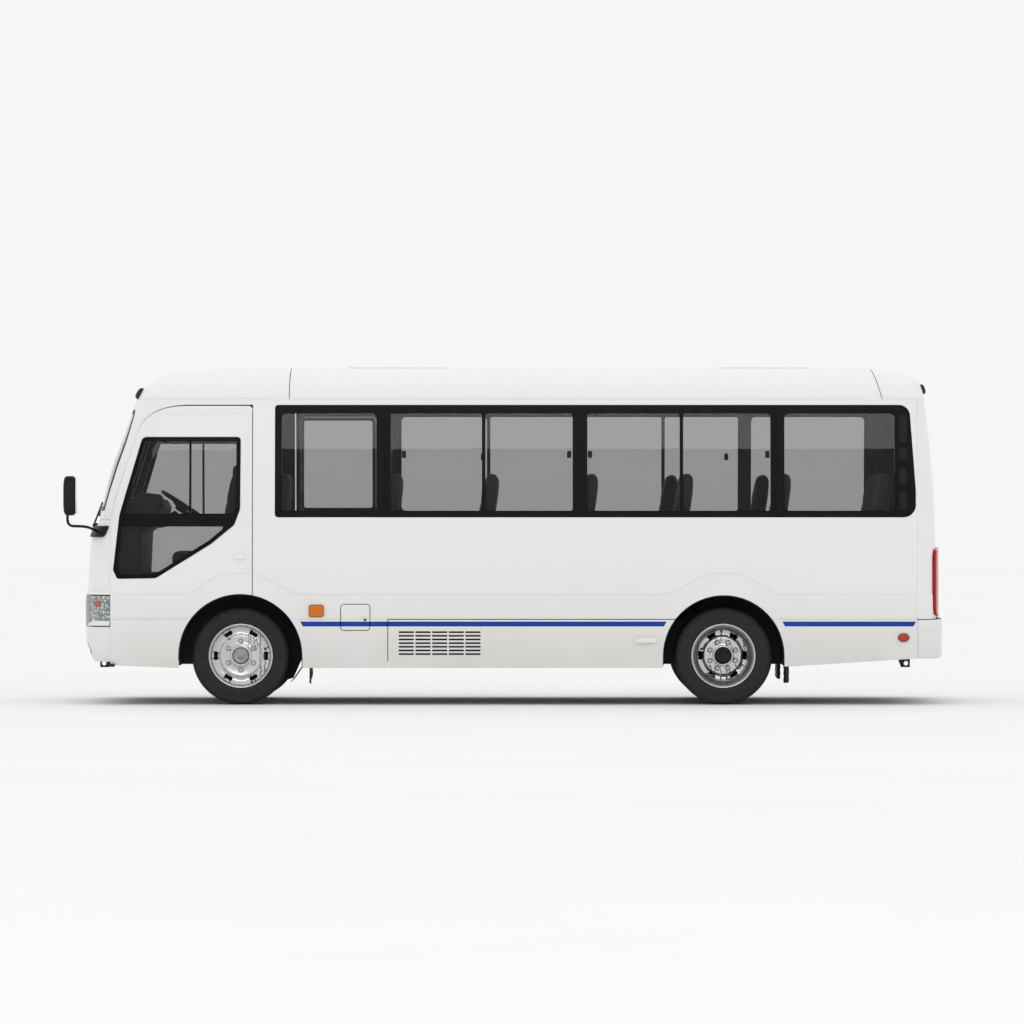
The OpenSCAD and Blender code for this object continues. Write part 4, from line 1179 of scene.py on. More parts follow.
for tag, side, places in (("left", LEFT, (819, -520, -690, -2127)),
                          ("right", RIGHT, (190, -640, -1867, -1997))):
    parts = []
    for k, x in enumerate(places):
        y = side_point(x, 2030, 14)[1]
        low_y, high_y = (y - 24, y) if side == LEFT else (-y, -y + 24)
        parts.append(rounded_box(f"{tag}_latch_{k}", (x - 17, low_y, 2002), (x + 17, high_y, 2058), 6, *trim))
    joined(f"{tag}_window_latches", parts)
print("panes:", len(left_panes) + len(right_panes))

# %% [markdown]
# ## Door glass
# The door window is one black-bordered glass with a drop pane above a cross band. The opening is clipped at
# the band, so that both panes keep the outline's own curves.

# %% Door windows
band_z = (1449, 1547)
bar_x = 2550


def clipped(loop, axis, limit, keep_above):
    """The part of a loop on one side of a straight cut."""
    out = []
    for a, b in zip(loop, list(loop[1:]) + [loop[0]]):
        a_in, b_in = ((p[axis] >= limit) == keep_above for p in (a, b))
        if a_in:
            out.append(tuple(a))
        if a_in != b_in:
            t = (limit - a[axis]) / (b[axis] - a[axis])
            out.append(tuple(Vector(a).lerp(Vector(b), t)))
    return out


def spaced(loop, least=4.0):
    """Drops points that crowd their neighbour."""
    out = [loop[0]]
    for p in loop[1:]:
        if math.dist(p, out[-1]) > least:
            out.append(p)
    return out if math.dist(out[0], out[-1]) > least else out[:-1]


glass_loop = [tuple(p) for p in inset(door_window, 36)]
upper = clipped(glass_loop, 1, band_z[1] + 4, True)
door_panes = [clipped(upper, 0, bar_x + 9, True), clipped(upper, 0, bar_x - 9, False),
              clipped(glass_loop, 1, band_z[0] - 4, False)]
door_panes = [spaced(pane) for pane in door_panes]
for name, side, body, node in (("driver_door", LEFT, "driver_door", "driver_door_glass"),
                               ("right_front", RIGHT, "body", "windows")):
    sheet(f"{name}_window_border", inset(door_window, 3.0), door_panes,
          lambda x, z, depth: side_point(x, z, depth + 1.5, side), 32, [black_frit, dash_vinyl], body,
          "black_trim", step=(60, 40), rim=1.5)
    for i, pane in enumerate(door_panes):
        sheet(f"{name}_pane_{i + 1}", inset(pane, 1.0), [],
              lambda x, z, depth: side_point(x, z, depth + 6, side), pane_t, door_glass, body,
              "tinted_glass", [node], step=(90, 70), edge_step=50, rim=0.8, rim_steps=2)
leaf_panes = [rounded(box_loop(1122, 1700, z0, z1), 20) for z0, z1 in ((790, 1560), (1600, 2333))]
sheet("entrance_door_border", inset(entrance_hole, 1.5), leaf_panes,
      lambda x, z, depth: side_point(x, z, depth + 3 - pressed(x, z), RIGHT), 24, [black_frit, dash_vinyl],
      "entrance_door", "black_trim", step=(60, 50), rim=1.5)
for i, pane in enumerate(leaf_panes):
    sheet(f"entrance_door_pane_{i + 1}", inset(pane, 1.0), [],
          lambda x, z, depth: side_point(x, z, depth + 7 - pressed(x, z), RIGHT), pane_t, tinted_glass,
          "entrance_door", "tinted_glass", ["entrance_door_glass"], step=(90, 70), rim=0.8, rim_steps=2)

# %% [markdown]
# ## Windscreen and rear window
# Both are bonded into a black border that hides the glue line. From the side the border is the dark line
# that follows the pillar.

# %% Bonded end windows
def end_window(tag, template, tail, border, finish, node, slot):
    """A black border bonded into its opening, and the glass inside it."""
    outer = [(along_from_y(-y, z, tail), z) for y, z in split(template, 30)]
    sheet(f"{tag}_border", inset(outer, 2.0), [inset(outer, border)], place_end(tail), 12, black_frit, "body",
          "black_trim", step=(60, 50), rim=1.5)
    sheet(f"{tag}_glass", inset(outer, border + 1), [], place_end(tail, -2.0), 6, finish, "body", slot,
          [node], step=(90, 70), edge_step=40, rim=0.8, rim_steps=2)


end_window("windscreen", screen_template(), False, 34, clear_glass, "windscreen", "clear_glass")

# %% [markdown]
# ## Tail
# The tail is one pressing with the rear window bonded into it, and the bumper is a moulded cover that
# stands proud of it. The lamps wrap round the corners, so their lenses are cut from the same surface and
# raised over a dark housing. The two number plates are blank.

# %% Rear panel, window and bumper
def mirrored(loop):
    return [(-u, z) for u, z in loop][::-1]


lamp_outer_x, lamp_inner_y = -3466, 740
lamp_right = around([("y", -lamp_inner_y, 706, RIGHT), ("x", lamp_outer_x - 8, 735, RIGHT),
                     ("x", lamp_outer_x, 785, RIGHT), ("x", lamp_outer_x, 1210, RIGHT),
                     ("x", lamp_outer_x - 8, 1250, RIGHT), ("y", -lamp_inner_y, 1280, RIGHT)], True)
tail_lamps = {"right": rounded(lamp_right, [22, 0, 0, 0, 0, 22], 5)}
tail_lamps["left"] = mirrored(tail_lamps["right"])
rear_template = rounded([(-760, 1560), (760, 1560), (720, 2290), (-720, 2290)], 70, 8)
rear_hole = [(along_from_y(-y, z, True), z) for y, z in split(rear_template, 30)]


plate_z = 1080


def tail_relief(u, z):
    """A raised waist and a recess for the plate."""
    plate = ease((300 - abs(u)) / 25) * ease((110 - abs(z - plate_z)) / 25)
    return 4.0 * (1 - ease((z - crease_z + crease_half) / (2 * crease_half))) - 8.0 * plate


rear_rows = [np.array([(u, crease_z + d) for u in np.arange(-1000, 1001, 30)]) for d in (-10, 0, 10)]
rear_rows += [np.array([(u, plate_z + s * d) for u in np.arange(-320, 321, 20)])
              for s in (-1, 1) for d in (85, 97, 110)]
sheet("rear_panel_skin", across(696, cant_z, tail_start_x - 5, True),
      [rear_hole] + [inset(loop, -2.5) for loop in tail_lamps.values()], place_end(True, tail_relief),
      end_depth, *lined, ["rear_panel"], rows=rear_rows, step=(70, 50))
end_window("rear_window", rear_template, True, 34, tinted_glass, "windows", "tinted_glass")
bumper_shift, bumper_line_z = -52, 610
sheet("rear_bumper_skin", across(376, 690, -3302, True), [],
      place_end(True, lambda u, z: -12 * ease((404 - z) / 26) - 3 * max(0, 1 - abs(z - bumper_line_z) / 6),
                bumper_shift),
      end_depth, [enamel, chassis_enamel], "body", "body_paint", ["rear_bumper"], step=(70, 30), rim=8,
      rows=[np.array([(u, bumper_line_z + d) for u in np.arange(-1150, 1151, 30)]) for d in (-6, 0, 6)])
rounded_box("rear_bumper_step", (-3562, -620, 686), (-3520, 620, 697), 4, step_rubber, "body", "rubber")
rounded_box("rear_number_plate", (-3522, -230, 1015), (-3512, 230, 1145), 4, plate_enamel, "body",
            "body_paint")
rounded_box("front_number_plate", (3424, -230, 520), (3436, 230, 630), 4, plate_enamel, "body", "body_paint")
print("tail lamp height:", round(tail_lamps["right"][-1][1] - tail_lamps["right"][0][1]), "mm")


# %% Lamps of the tail
def dome(name, centre, radii, materials, body, slot, replaced=(), power=2.0, tilt=0.0, n=(40, 24)):
    """A closed rounded form; a power above 2 squares it off. tilt leans it back about the Y axis."""
    verts = []
    for j in range(n[1] + 1):
        v = math.pi * (j / n[1] - 0.5)
        for i in range(n[0]):
            a = 2 * math.pi * i / n[0]
            d = Vector((math.cos(v) * math.cos(a), math.cos(v) * math.sin(a), math.sin(v)))
            d /= sum(abs(c) ** power for c in d) ** (1 / power)
            verts.append(Vector((d.x * radii[0], d.y * radii[1], d.z * radii[2])))
    turn = Matrix.Rotation(math.radians(tilt), 3, "Y")
    verts = [tuple((turn @ v + Vector(centre)) * MM) for v in verts]
    return clean_piece(name, verts, grid_faces(n[1] + 1, n[0]), materials, body, slot, replaced)


lens_out, marker_base_y, marker_lens_y = 24, 1046, 1055
for tag, loop in tail_lamps.items():
    side = RIGHT if tag == "right" else LEFT
    outer_u, inner_u = along_from_x(-3490, 900, RIGHT, True), abs(along_from_y(772, 900, True))
    blocks = [rounded(box_loop(inner_u, outer_u, z0, z1), 10, 3) for z0, z1 in ((783, 930), (954, 1076))]
    blocks = blocks if side == RIGHT else [mirrored(block) for block in blocks]
    sheet(f"{tag}_tail_lamp_housing", inset(loop, 1.0), [], place_end(True, -16), 20, *trim,
          step=(60, 50), rim=2)
    sheet(f"{tag}_tail_lens", inset(loop, 1.5), blocks, place_end(True, lens_out), 30, red_lens, "body",
          "lamp_red", ["tail_lights"], step=(30, 30), rim=5)
    for i, block in enumerate(blocks):
        sheet(f"{tag}_tail_white_lens_{i + 1}", inset(block, 0.8), [], place_end(True, lens_out + 1), 28,
              white_lens, "body", "lamp_clear", step=(30, 30), rim=4)
    dome(f"{tag}_reflector_rim", (-3228, side * 1039, 545), (46, 6, 35), *trim)
    dome(f"{tag}_reflector", (-3228, side * 1041, 545), (41, 9, 30), orange_lens, "body", "lamp_red",
         ["tail_lights"], power=2.4)
    dome(f"{tag}_rear_marker", (-3410, side * 640, 2566), (20, 36, 42), smoked_lens, "body", "lamp_amber",
         ["marker_lamps"], power=2.6, tilt=20)
    dome(f"{tag}_front_marker", (2972, side * 700, 2526), (34, 60, 52), smoked_lens, "body", "lamp_amber",
         ["marker_lamps"], power=2.6, tilt=-32)
    x0, x1 = (1468, 1588) if side == LEFT else (850, 970)
    marker_loop = rounded(box_loop(x0, x1, 712, 811), 20)
    sheet(f"{tag}_side_marker_base", marker_loop, [],
          lambda x, z, depth: (x, side * (marker_base_y - depth), z), 12,
          *trim, step=(60, 50), rim=3)
    sheet(f"{tag}_side_marker", inset(marker_loop, 4), [],
          lambda x, z, depth: (x, side * (marker_lens_y - depth), z),
          18, amber_lens, "body", "lamp_amber", ["marker_lamps"], step=(24, 20), rim=7)

# %% [markdown]
# ## Headlamps
# A modern headlamp is a clear polycarbonate cover, flush with the skin, over a metallised reflector with
# round bowls. The bowls are pressed into one reflector sheet by a depth function, and the bulbs' lenses and
# the amber indicator sit in them.

# %% Headlamps, front grille and fog lamps
head_right = around([("y", -lamp_y - 60, 641, RIGHT), ("x", nose_edge_x + 3, 641, RIGHT),
                     ("x", nose_edge_x + 3, 886, RIGHT), ("y", -lamp_y - 3, 886, RIGHT),
                     ("y", -lamp_y - 3, 752, RIGHT)])
bowls = [(755, 775, 88), (905, 790, 66)]
for side, tag in ((RIGHT, "right"), (LEFT, "left")):
    loop = head_right if side == RIGHT else mirrored(head_right)
    centres = [(along_from_y(side * y, z), z, r) for y, z, r in bowls]

    def bowl_depth(u, z):
        return -34.0 - sum(34.0 * max(0.0, 1 - (math.hypot(u - cu, z - cz) / r) ** 2)
                           for cu, cz, r in centres)
    sheet(f"{tag}_headlamp_reflector", inset(loop, 3.0), [], place_end(False, bowl_depth), 4, facet_coat,
          "body", "lamp_clear", step=(14, 14), rim=1.5)
    sheet(f"{tag}_headlamp_cover", loop, [], place_end(False, 1.0), 6, clear_cover, "body", "lamp_clear",
          ["headlights"], step=(40, 35), rim=2.5)
    for i, (cu, cz, r) in enumerate(centres):
        dome(f"{tag}_headlamp_lens_{i + 1}", place_end(False)(cu, cz, 44), (20, r * 0.5, r * 0.5),
             clear_cover, "body", "lamp_clear")
    filler = around([("x", 3394, 641, RIGHT), ("x", nose_edge_x + 3, 641, RIGHT),
                     ("x", nose_edge_x + 3, 682, RIGHT), ("x", 3340, 682, RIGHT)])
    sheet(f"{tag}_headlamp_corner", filler if side == RIGHT else mirrored(filler), [],
          place_end(False, 3.0), 8, enamel, "body", "body_paint", step=(40, 20), rim=2.0)
    dome(f"{tag}_indicator", place_end(False)(along_from_x(3326, 817, side), 817, 30), (42, 16, 28),
         orange_lens, "body", "lamp_amber")
    dome(f"{tag}_fog_lamp", place_end(False)(-side * fog_y, 452, 14), (12, 58, 36), white_lens, "body",
         "lamp_clear", power=2.6)
for name, u, z0, z1 in (("front_grille_screen", 455, 748, 868), ("front_intake_screen", 900, 384, 520)):
    sheet(name, box_loop(-u, u, z0, z1), [], place_end(False, -37), 5, *trim, step=(80, 30), rim=2)
sheet("side_hatch_screen", box_loop(188, 872, 395, 607), [],
      lambda x, z, depth: side_point(x, z, depth + 36), 4, black_moulding, "side_hatch", "black_trim",
      step=(90, 40), rim=1)

# %% [markdown]
# ## Mirrors, wipers and small fittings
# Mirror arms and wiper arms are bent tube, so they are swept along a path whose corners are eased. The
# mirror head is a soft-cornered shell with the glass let into its rear face.

# %% Tubes
def tube(name, points, r, materials, body, slot, replaced=(), ease_r=0.0, sides=14):
    """A bent tube through the points, with eased corners and rounded ends."""
    stops = [Vector(p) for p in points]
    path = [stops[0]]
    for a, b, c in zip(stops, stops[1:], stops[2:]):
        reach = min(ease_r, (a - b).length / 2, (c - b).length / 2)
        if reach > 0:
            first, last = b + (a - b).normalized() * reach, b + (c - b).normalized() * reach
            path += [first * (1 - t) ** 2 + b * 2 * t * (1 - t) + last * t * t for t in np.linspace(0, 1, 8)]
        else:
            path.append(b)
    path.append(stops[-1])
    head, tail = (path[1] - path[0]).normalized(), (path[-1] - path[-2]).normalized()
    path = ([path[0], path[0] + head * 0.15 * r, path[0] + head * 0.5 * r] + path[1:-1]
            + [path[-1] - tail * 0.5 * r, path[-1] - tail * 0.15 * r, path[-1]])
    radii = [0.5 * r, 0.85 * r] + [r] * (len(path) - 4) + [0.85 * r, 0.5 * r]
    normal = head.orthogonal().normalized()
    verts = []
    for k, p in enumerate(path):
        along = (path[min(k + 1, len(path) - 1)] - path[max(k - 1, 0)]).normalized()
        normal = (normal - along * normal.dot(along)).normalized()
        other = along.cross(normal)
        verts += [tuple((p + (normal * math.cos(a) + other * math.sin(a)) * radii[k]) * MM)
                  for a in np.linspace(0, 2 * math.pi, sides, endpoint=False)]
    faces = grid_faces(len(path), sides)
    faces += [tuple(range(sides))[::-1], tuple(range(len(verts) - sides, len(verts)))]
    return clean_piece(name, verts, faces, materials, body, slot, replaced)


# %% Mirrors
def mirror(tag, centre, radii, glass_x, power=4.5):
    dome(f"{tag}_mirror_head", centre, radii, *trim, ["mirrors"], power,
         n=(64, 40))
    y, z = centre[1:]
    half_y, half_z = radii[1] - 14, radii[2] - 16
    sheet(f"{tag}_mirror_glass", rounded(box_loop(y - half_y, y + half_y, z - half_z, z + half_z), 26), [],
          lambda v, w, depth: (glass_x + depth, v, w), 6, reflector_coat, "body", "black_trim", rim=1.5,
          step=(60, 60))


mirror("left", (3514, 1138, 1694), (52, 86, 160), 3459)
mirror("right", (3142, -1152, 1857), (30, 72, 107), 3109, 3.6)
pad_u = [along_from_x(x, 1405, LEFT) for x in (3338, 3222)]
sheet("left_mirror_bracket", rounded(box_loop(min(pad_u), max(pad_u), 1360, 1452), 24), [],
      place_end(False, 24), 28, *trim, ["mirrors"], rim=10, step=(30, 30))
bracket = Vector(place_end(False)(sum(pad_u) / 2, 1412, -14))
tube("left_mirror_arm", [bracket, (3390, 1085, 1447), (3534, 1138, 1450), (3534, 1138, 1560)], 11,
     *trim, ["mirrors"], 60)
foot = Vector(side_point(3180, 1630, -2, RIGHT))
tube("right_mirror_arm", [foot, (3150, -1120, 1672), (3142, -1152, 1720), (3142, -1152, 1790)], 11,
     *trim, ["mirrors"], 40)
dome("right_mirror_foot", foot, (26, 12, 30), *trim, power=3)


# %% Wipers and small fittings
def on_nose(y, z, out):
    return place_end(False)(along_from_y(y, z), z, -out)


for i, y in enumerate((-60, 640)):
    dome(f"wiper_pivot_{i + 1}", on_nose(y, 1452, 10), (26, 24, 22), *trim, ["wipers"], power=2.6)
    stops = [on_nose(y - step, z, out) for step, z, out in ((0, 1452, 26), (60, 1500, 34), (420, 1640, 22))]
    tube(f"wiper_arm_{i + 1}", stops, 8, *trim, ["wipers"], 40)
    tube(f"wiper_blade_{i + 1}", [on_nose(y - 80 - 61 * k, 1534 + 10 * k, 10) for k in range(11)], 8,
         seal_rubber, "body", "rubber", ["wipers"], 20)
handle_y = (1034, 1051)
rounded_box("hatch_pull_handle", (-1223, handle_y[0], 503), (-1058, handle_y[1], 546), 8, white_abs,
            "side_hatch", "body_paint", ["side_hatch"], 4)
dome("fuel_flap_lock", (1133, 1046, 690), (13, 3, 8), black_moulding, "fuel_flap", "black_trim")
rounded_box("driver_door_pull", (2104, 1037, 1180), (2196, 1050, 1222), 6, enamel, "driver_door",
            "body_paint")
rounded_box("driver_door_foot", (3160, 1008, 309), (3208, 1032, 334), 5, seal_rubber, "driver_door", "rubber")
rounded_box("entrance_door_pull", (1066, -1050, 1180), (1084, -1040, 1330), 5, black_moulding,
            "entrance_door", "black_trim")
for k, (x, side) in enumerate(((1581, LEFT), (1628, RIGHT), (-2298, LEFT), (-2298, RIGHT))):
    inner, outer = (742, 948) if k < 2 else (526, 964)
    low, high = sorted((side * inner, side * outer))
    flap_loop = rounded([(low, 164 + (14 if side < 0 else 0)), (high, 164 + (0 if side < 0 else 14)),
                         (high, 744), (low, 744)], [30, 30, 4, 4])
    flap_t = 10 if k < 2 else 24
    sheet(f"mud_flap_{k + 1}", flap_loop, [],
          lambda y, z, depth: (x - 5 + depth + 2.0 * math.sin(z / 9.0), y, z), flap_t, flap_rubber, "body",
          "rubber", ["mud_flaps"], step=(60, 14), rim=2)
print("small fittings made")

# %% [markdown]
# ## Tyres
# A tyre is a solid of revolution with a pattern cut round it. Its section is drawn once, as radius and
# distance from its middle plane, with the bead, a rubbing strip, the shoulder and four tread grooves.
# Turning it in code lets the shoulder blocks be cut by sinking every fourth section, which a lathe modifier
# can't do.

# %% Turned pieces and tyres
def turned(name, profile, centre, side, materials, body, slot, replaced=(), steps=120, shape=None):
    """Turns a closed section of (radius, distance outwards) about a wheel's axle."""
    verts = []
    for k in range(steps):
        a = 2 * math.pi * k / steps
        for r, out in profile:
            r = shape(k, r, out) if shape else r
            verts.append(((centre[0] + r * math.cos(a)) * MM, side * (centre[1] + out) * MM,
                          (centre[2] + r * math.sin(a)) * MM))
    faces = grid_faces(steps, len(profile), closed=True)
    return clean_piece(name, verts, faces, materials, body, slot, replaced)


tyre_half = [(243, 72), (252, 76), (262, 81), (264, 93), (270, 98), (284, 100), (300, 101), (302, 102.4),
             (306, 102.4), (308, 101.2), (330, 101.8), (345, 101.6), (357, 100.2), (358.5, 101.4),
             (363, 100.8), (364.5, 98.6), (372, 96.4), (380, 92), (386, 86), (391, 78), (394, 68), (395.2, 58),
             (388, 57), (388, 52), (395.6, 51), (396, 30), (388, 29), (388, 22), (396, 21), (396, 3)]
tyre_profile = tyre_half + [(r, -out) for r, out in tyre_half[::-1]] + [(246, -60), (370, -84), (382, -60),
                                                                         (382, 60), (370, 84), (246, 60)]


def shoulder_blocks(k, r, out):
    return r - 7 if k % 4 == 0 and r > 384 and abs(out) > 62 else r


wheels = {"front_left": (front_axle_x, 845, LEFT), "front_right": (front_axle_x, 845, RIGHT),
          "rear_left": (rear_axle_x, 862, LEFT), "rear_right": (rear_axle_x, 862, RIGHT)}
twin_pitch = 235
for tag, (x, y, side) in wheels.items():
    rear = tag.startswith("rear")
    body = f"{tag}_wheels" if rear else f"{tag}_wheel"
    for k in range(2 if rear else 1):
        turned(f"{tag}_tyre_{k + 1}", tyre_profile, (x, y - twin_pitch * k, axle_z), side, tyre_black, body,
               "tyre", [f"{tag}_tyres" if rear else f"{tag}_tyre"], 240, shoulder_blocks)
print("tyre section points:", len(tyre_profile))

# %% [markdown]
# ## Rims and discs
# Truck rims are rolled from steel strip and the disc is pressed and welded in. The front disc stands out,
# and the rear one is turned round and sits deep inside, because two wheels share one hub there. The slots
# are true holes with turned-in edges, so the brake drum shows darkly behind them.

# %% Rims, discs and hubs
rim_outside = [(262, -90), (256, -93), (248, -90), (242.6, -78), (238, -60), (226, -20), (226, 20), (238, 60),
               (242.6, 78), (248, 91), (256, 94.5), (261, 93), (262, 89)]
front_inside = [(256, 89), (250, 86), (238, 78), (233, 62), (221, 20), (221, -20), (233, -60), (237, -78),
                (248, -85)]
rear_inside = [(257, 90), (252, 88), (246, 82), (239, 79), (237, 68), (235.5, 56), (230, 53), (226, 40),
               (219, 30), (214, 22), (209.5, 18), (207.5, 4), (207, -40), (207, -90), (236, -92)]
front_dish = [(0, 64), (92, 64), (98, 60), (112, 57), (150, 60), (163, 62), (170, 58), (178, 50), (196, 49),
              (216, 52), (227, 58), (232, 64), (240, 66)]
rear_dish = [(0, -84), (84, -84), (92, -88), (104, -86), (146, -86), (153, -88), (158, -98), (166, -102),
             (194, -100), (203, -94), (208, -92)]


def slot_loop(angle, r, half_r, half_angle):
    """A curved slot with round ends, in the disc's own plane."""
    corners = []
    for a, d in [(t, -half_r) for t in np.linspace(-half_angle, half_angle, 7)] + \
                [(t, half_r) for t in np.linspace(half_angle, -half_angle, 7)]:
        turn = math.radians(angle) + a
        corners.append(((r + d) * math.cos(turn), (r + d) * math.sin(turn)))
    end_r = half_r * 0.8
    return rounded(corners[::-1], [end_r] + [0] * 5 + [end_r] * 2 + [0] * 5 + [end_r], 4)[::-1]


def disc(name, centre, side, dish, outer_r, slot_r, materials, body, replaced):
    """A pressed wheel disc with six slots."""
    radii, outs = zip(*dish)

    def place(u, v, depth):
        out = float(np.interp(math.hypot(u, v), radii, outs))
        return (centre[0] + u, side * (centre[1] + out - depth), centre[2] + v)
    holes = [slot_loop(60 * k, slot_r, 18, 38 / slot_r) for k in range(6)]
    rings = [np.array([(r * math.cos(a), r * math.sin(a)) for a in np.linspace(0, 2 * math.pi, 97)])
             for r in radii[1:-1] if abs(r - slot_r) > 24 and r < outer_r - 5]
    outline = [(outer_r * math.cos(a), outer_r * math.sin(a))
               for a in np.linspace(0, 2 * math.pi, 96, endpoint=False)]
    return sheet(name, outline, holes, place, 9, materials, body, "wheel_chrome", replaced, rows=rings,
                 step=(16, 16), rim=2.0, edge_step=18)


def nuts(name, centre, side, ring_r, count, out, height, across_flats, material, body):
    """Hexagon nuts with chamfered tops and a washer under each."""
    verts, faces, ring = [], [], 48
    for k in range(count):
        a = 2 * math.pi * (k + 0.5) / count
        cu, cv = ring_r * math.cos(a), ring_r * math.sin(a)
        levels = [(0.72, 0, 16), (0.72, 3, 16), (0.577, 3, 6), (0.577, height * 0.8, 6), (0.48, height, 6)]
        start = len(verts)
        for scale, rise, sides in levels:
            for i in range(ring):
                b = 2 * math.pi * i / ring
                reach = across_flats * scale
                if sides == 6:
                    reach *= math.cos(math.pi / 6) / math.cos((b % (math.pi / 3)) - math.pi / 6)
                verts.append(((centre[0] + cu + reach * math.cos(b)) * MM,
                              side * (centre[1] + out + rise) * MM,
                              (centre[2] + cv + reach * math.sin(b)) * MM))
        faces += grid_faces(len(levels), ring, start=start)
        faces += [tuple(range(start, start + ring)), tuple(range(len(verts) - ring, len(verts)))]
    return weighted(clean_piece(name, verts, faces, material, body, "wheel_chrome"))


for tag, (x, y, side) in wheels.items():
    rear = tag.startswith("rear")
    body, centre = (f"{tag}_wheels" if rear else f"{tag}_wheel"), (x, y, axle_z)
    bead = rear_inside if rear else front_inside
    turned(f"{tag}_rim", rim_outside + bead, centre, side, wheel_chrome, body, "wheel_chrome", [body], 144)
    if rear:
        turned(f"{tag}_inner_rim", rim_outside + front_inside, (x, y - twin_pitch, axle_z), side, wheel_chrome,
               body, "wheel_chrome", steps=120)
        disc(f"{tag}_disc", centre, side, rear_dish, 206, 180, wheel_chrome, body, [body])
        nuts(f"{tag}_nuts", centre, side, 112, 8, -87, 26, 30, nut_steel, body)
        turned(f"{tag}_hub_ring", [(66, -90), (84, -90), (84, 8), (80, 14), (70, 16), (66, 12)], centre, side,
               wheel_chrome, body, "wheel_chrome", steps=96)
        turned(f"{tag}_hub_cap", [(0.01, 10), (66, 10), (66, 34), (62, 42), (44, 46), (40, 43), (20, 45),
                                  (0.01, 46)], centre, side, black_moulding, body, "black_trim", steps=96)
    else:
        disc(f"{tag}_disc", centre, side, front_dish, 235, 203, wheel_chrome, body, [body])
        nuts(f"{tag}_nuts", centre, side, 118, 6, 56, 24, 30, nut_steel, body)
        turned(f"{tag}_hub_ring", [(64, 56), (88, 56), (88, 72), (84, 79), (74, 81), (64, 76)], centre, side,
               wheel_chrome, body, "wheel_chrome", steps=96)
        turned(f"{tag}_hub_cap", [(0.01, 60), (65, 60), (65, 84), (60, 94), (46, 98), (42, 95), (24, 97),
                                  (20, 101), (0.01, 103)], centre, side, hub_casting, body, "wheel_chrome",
               steps=96)
        turned(f"{tag}_drum", [(90, -60), (196, -60), (204, -52), (204, 8), (198, 14), (90, 14)], centre, side,
               drum_iron, body, "cast_iron", steps=96)
print("wheels:", len(wheels))

# %% [markdown]
# ## Wheel arches
# Behind each arch stands a moulded black liner. It is what makes the opening look deep and dark: without it
# the light from the other side would show round the tyre.

# %% Arch liners
def liner(name, x, r, side, inner_y, tail_piece, axle_r):
    """Barrel and inner wall of one wheel arch."""
    line = tail_piece + [(x - r, axle_z)] + wheel_arc(x, r, 180, 0, 28)[1:] + [(x + r, 318)]
    rows = [[(px, side * wy, pz) for px, pz in line] for wy in (1000, 900, 700, inner_y + 12, inner_y)]
    rows[0] = [(px, side * (half_width(pz) - 43), pz) for px, pz in line]
    verts = [tuple(c * MM for c in p) for row in rows for p in row]
    faces = grid_faces(len(rows), len(line), ring=False)
    piece = clean_piece(name, verts, faces, flap_rubber, "body", "rubber")
    shell = piece.modifiers.new("moulded_wall", "SOLIDIFY")
    shell.thickness, shell.offset = 4 * MM, 0
    wall = (tail_piece[:-1] + [(x - 330, 182), (x - 330, 318)] if len(tail_piece) > 1 else [(x - r, 318)])
    wall += [(x - axle_r, 318), (x - axle_r, 520), (x + axle_r, 520), (x + axle_r, 318), (x + r, 318)]
    wall += wheel_arc(x, r - 1, 0, 180, 28)
    sheet(f"{name}_wall", wall, [], lambda u, z, depth: (u, side * (inner_y - 2 + depth), z), 4, flap_rubber,
          "body", "rubber", step=(70, 60), rim=1)


for tag, (x, y, side) in wheels.items():
    rear = tag.startswith("rear")
    r = (rear_arch_r if rear else front_arch_r) - 5
    tail_piece = [(x - r, 318)] if rear else [(x - 402, 182), (x - 430, 210), (x - r, 312)]
    if side == RIGHT and not rear:
        tail_piece = [(x - r, 318)]
    liner(f"{tag}_arch_liner", x, r, side, 506 if not rear else 497, tail_piece, 110)
print("arch liners: 4")

# %% [markdown]
# ## Padded seats
# A coach seat is foam in a sewn cover. The cover pulls the sides in between the corners, the faces crown,
# and the sewn channels sink a little. Each pad is a closed form made from a subdivided cube that is drawn
# towards a rounded block and then pushed by those three effects, with a few millimetres of seeded
# unevenness so that no two are the same. No cloth simulation is run: 43 pads would make every run of the
# script long.

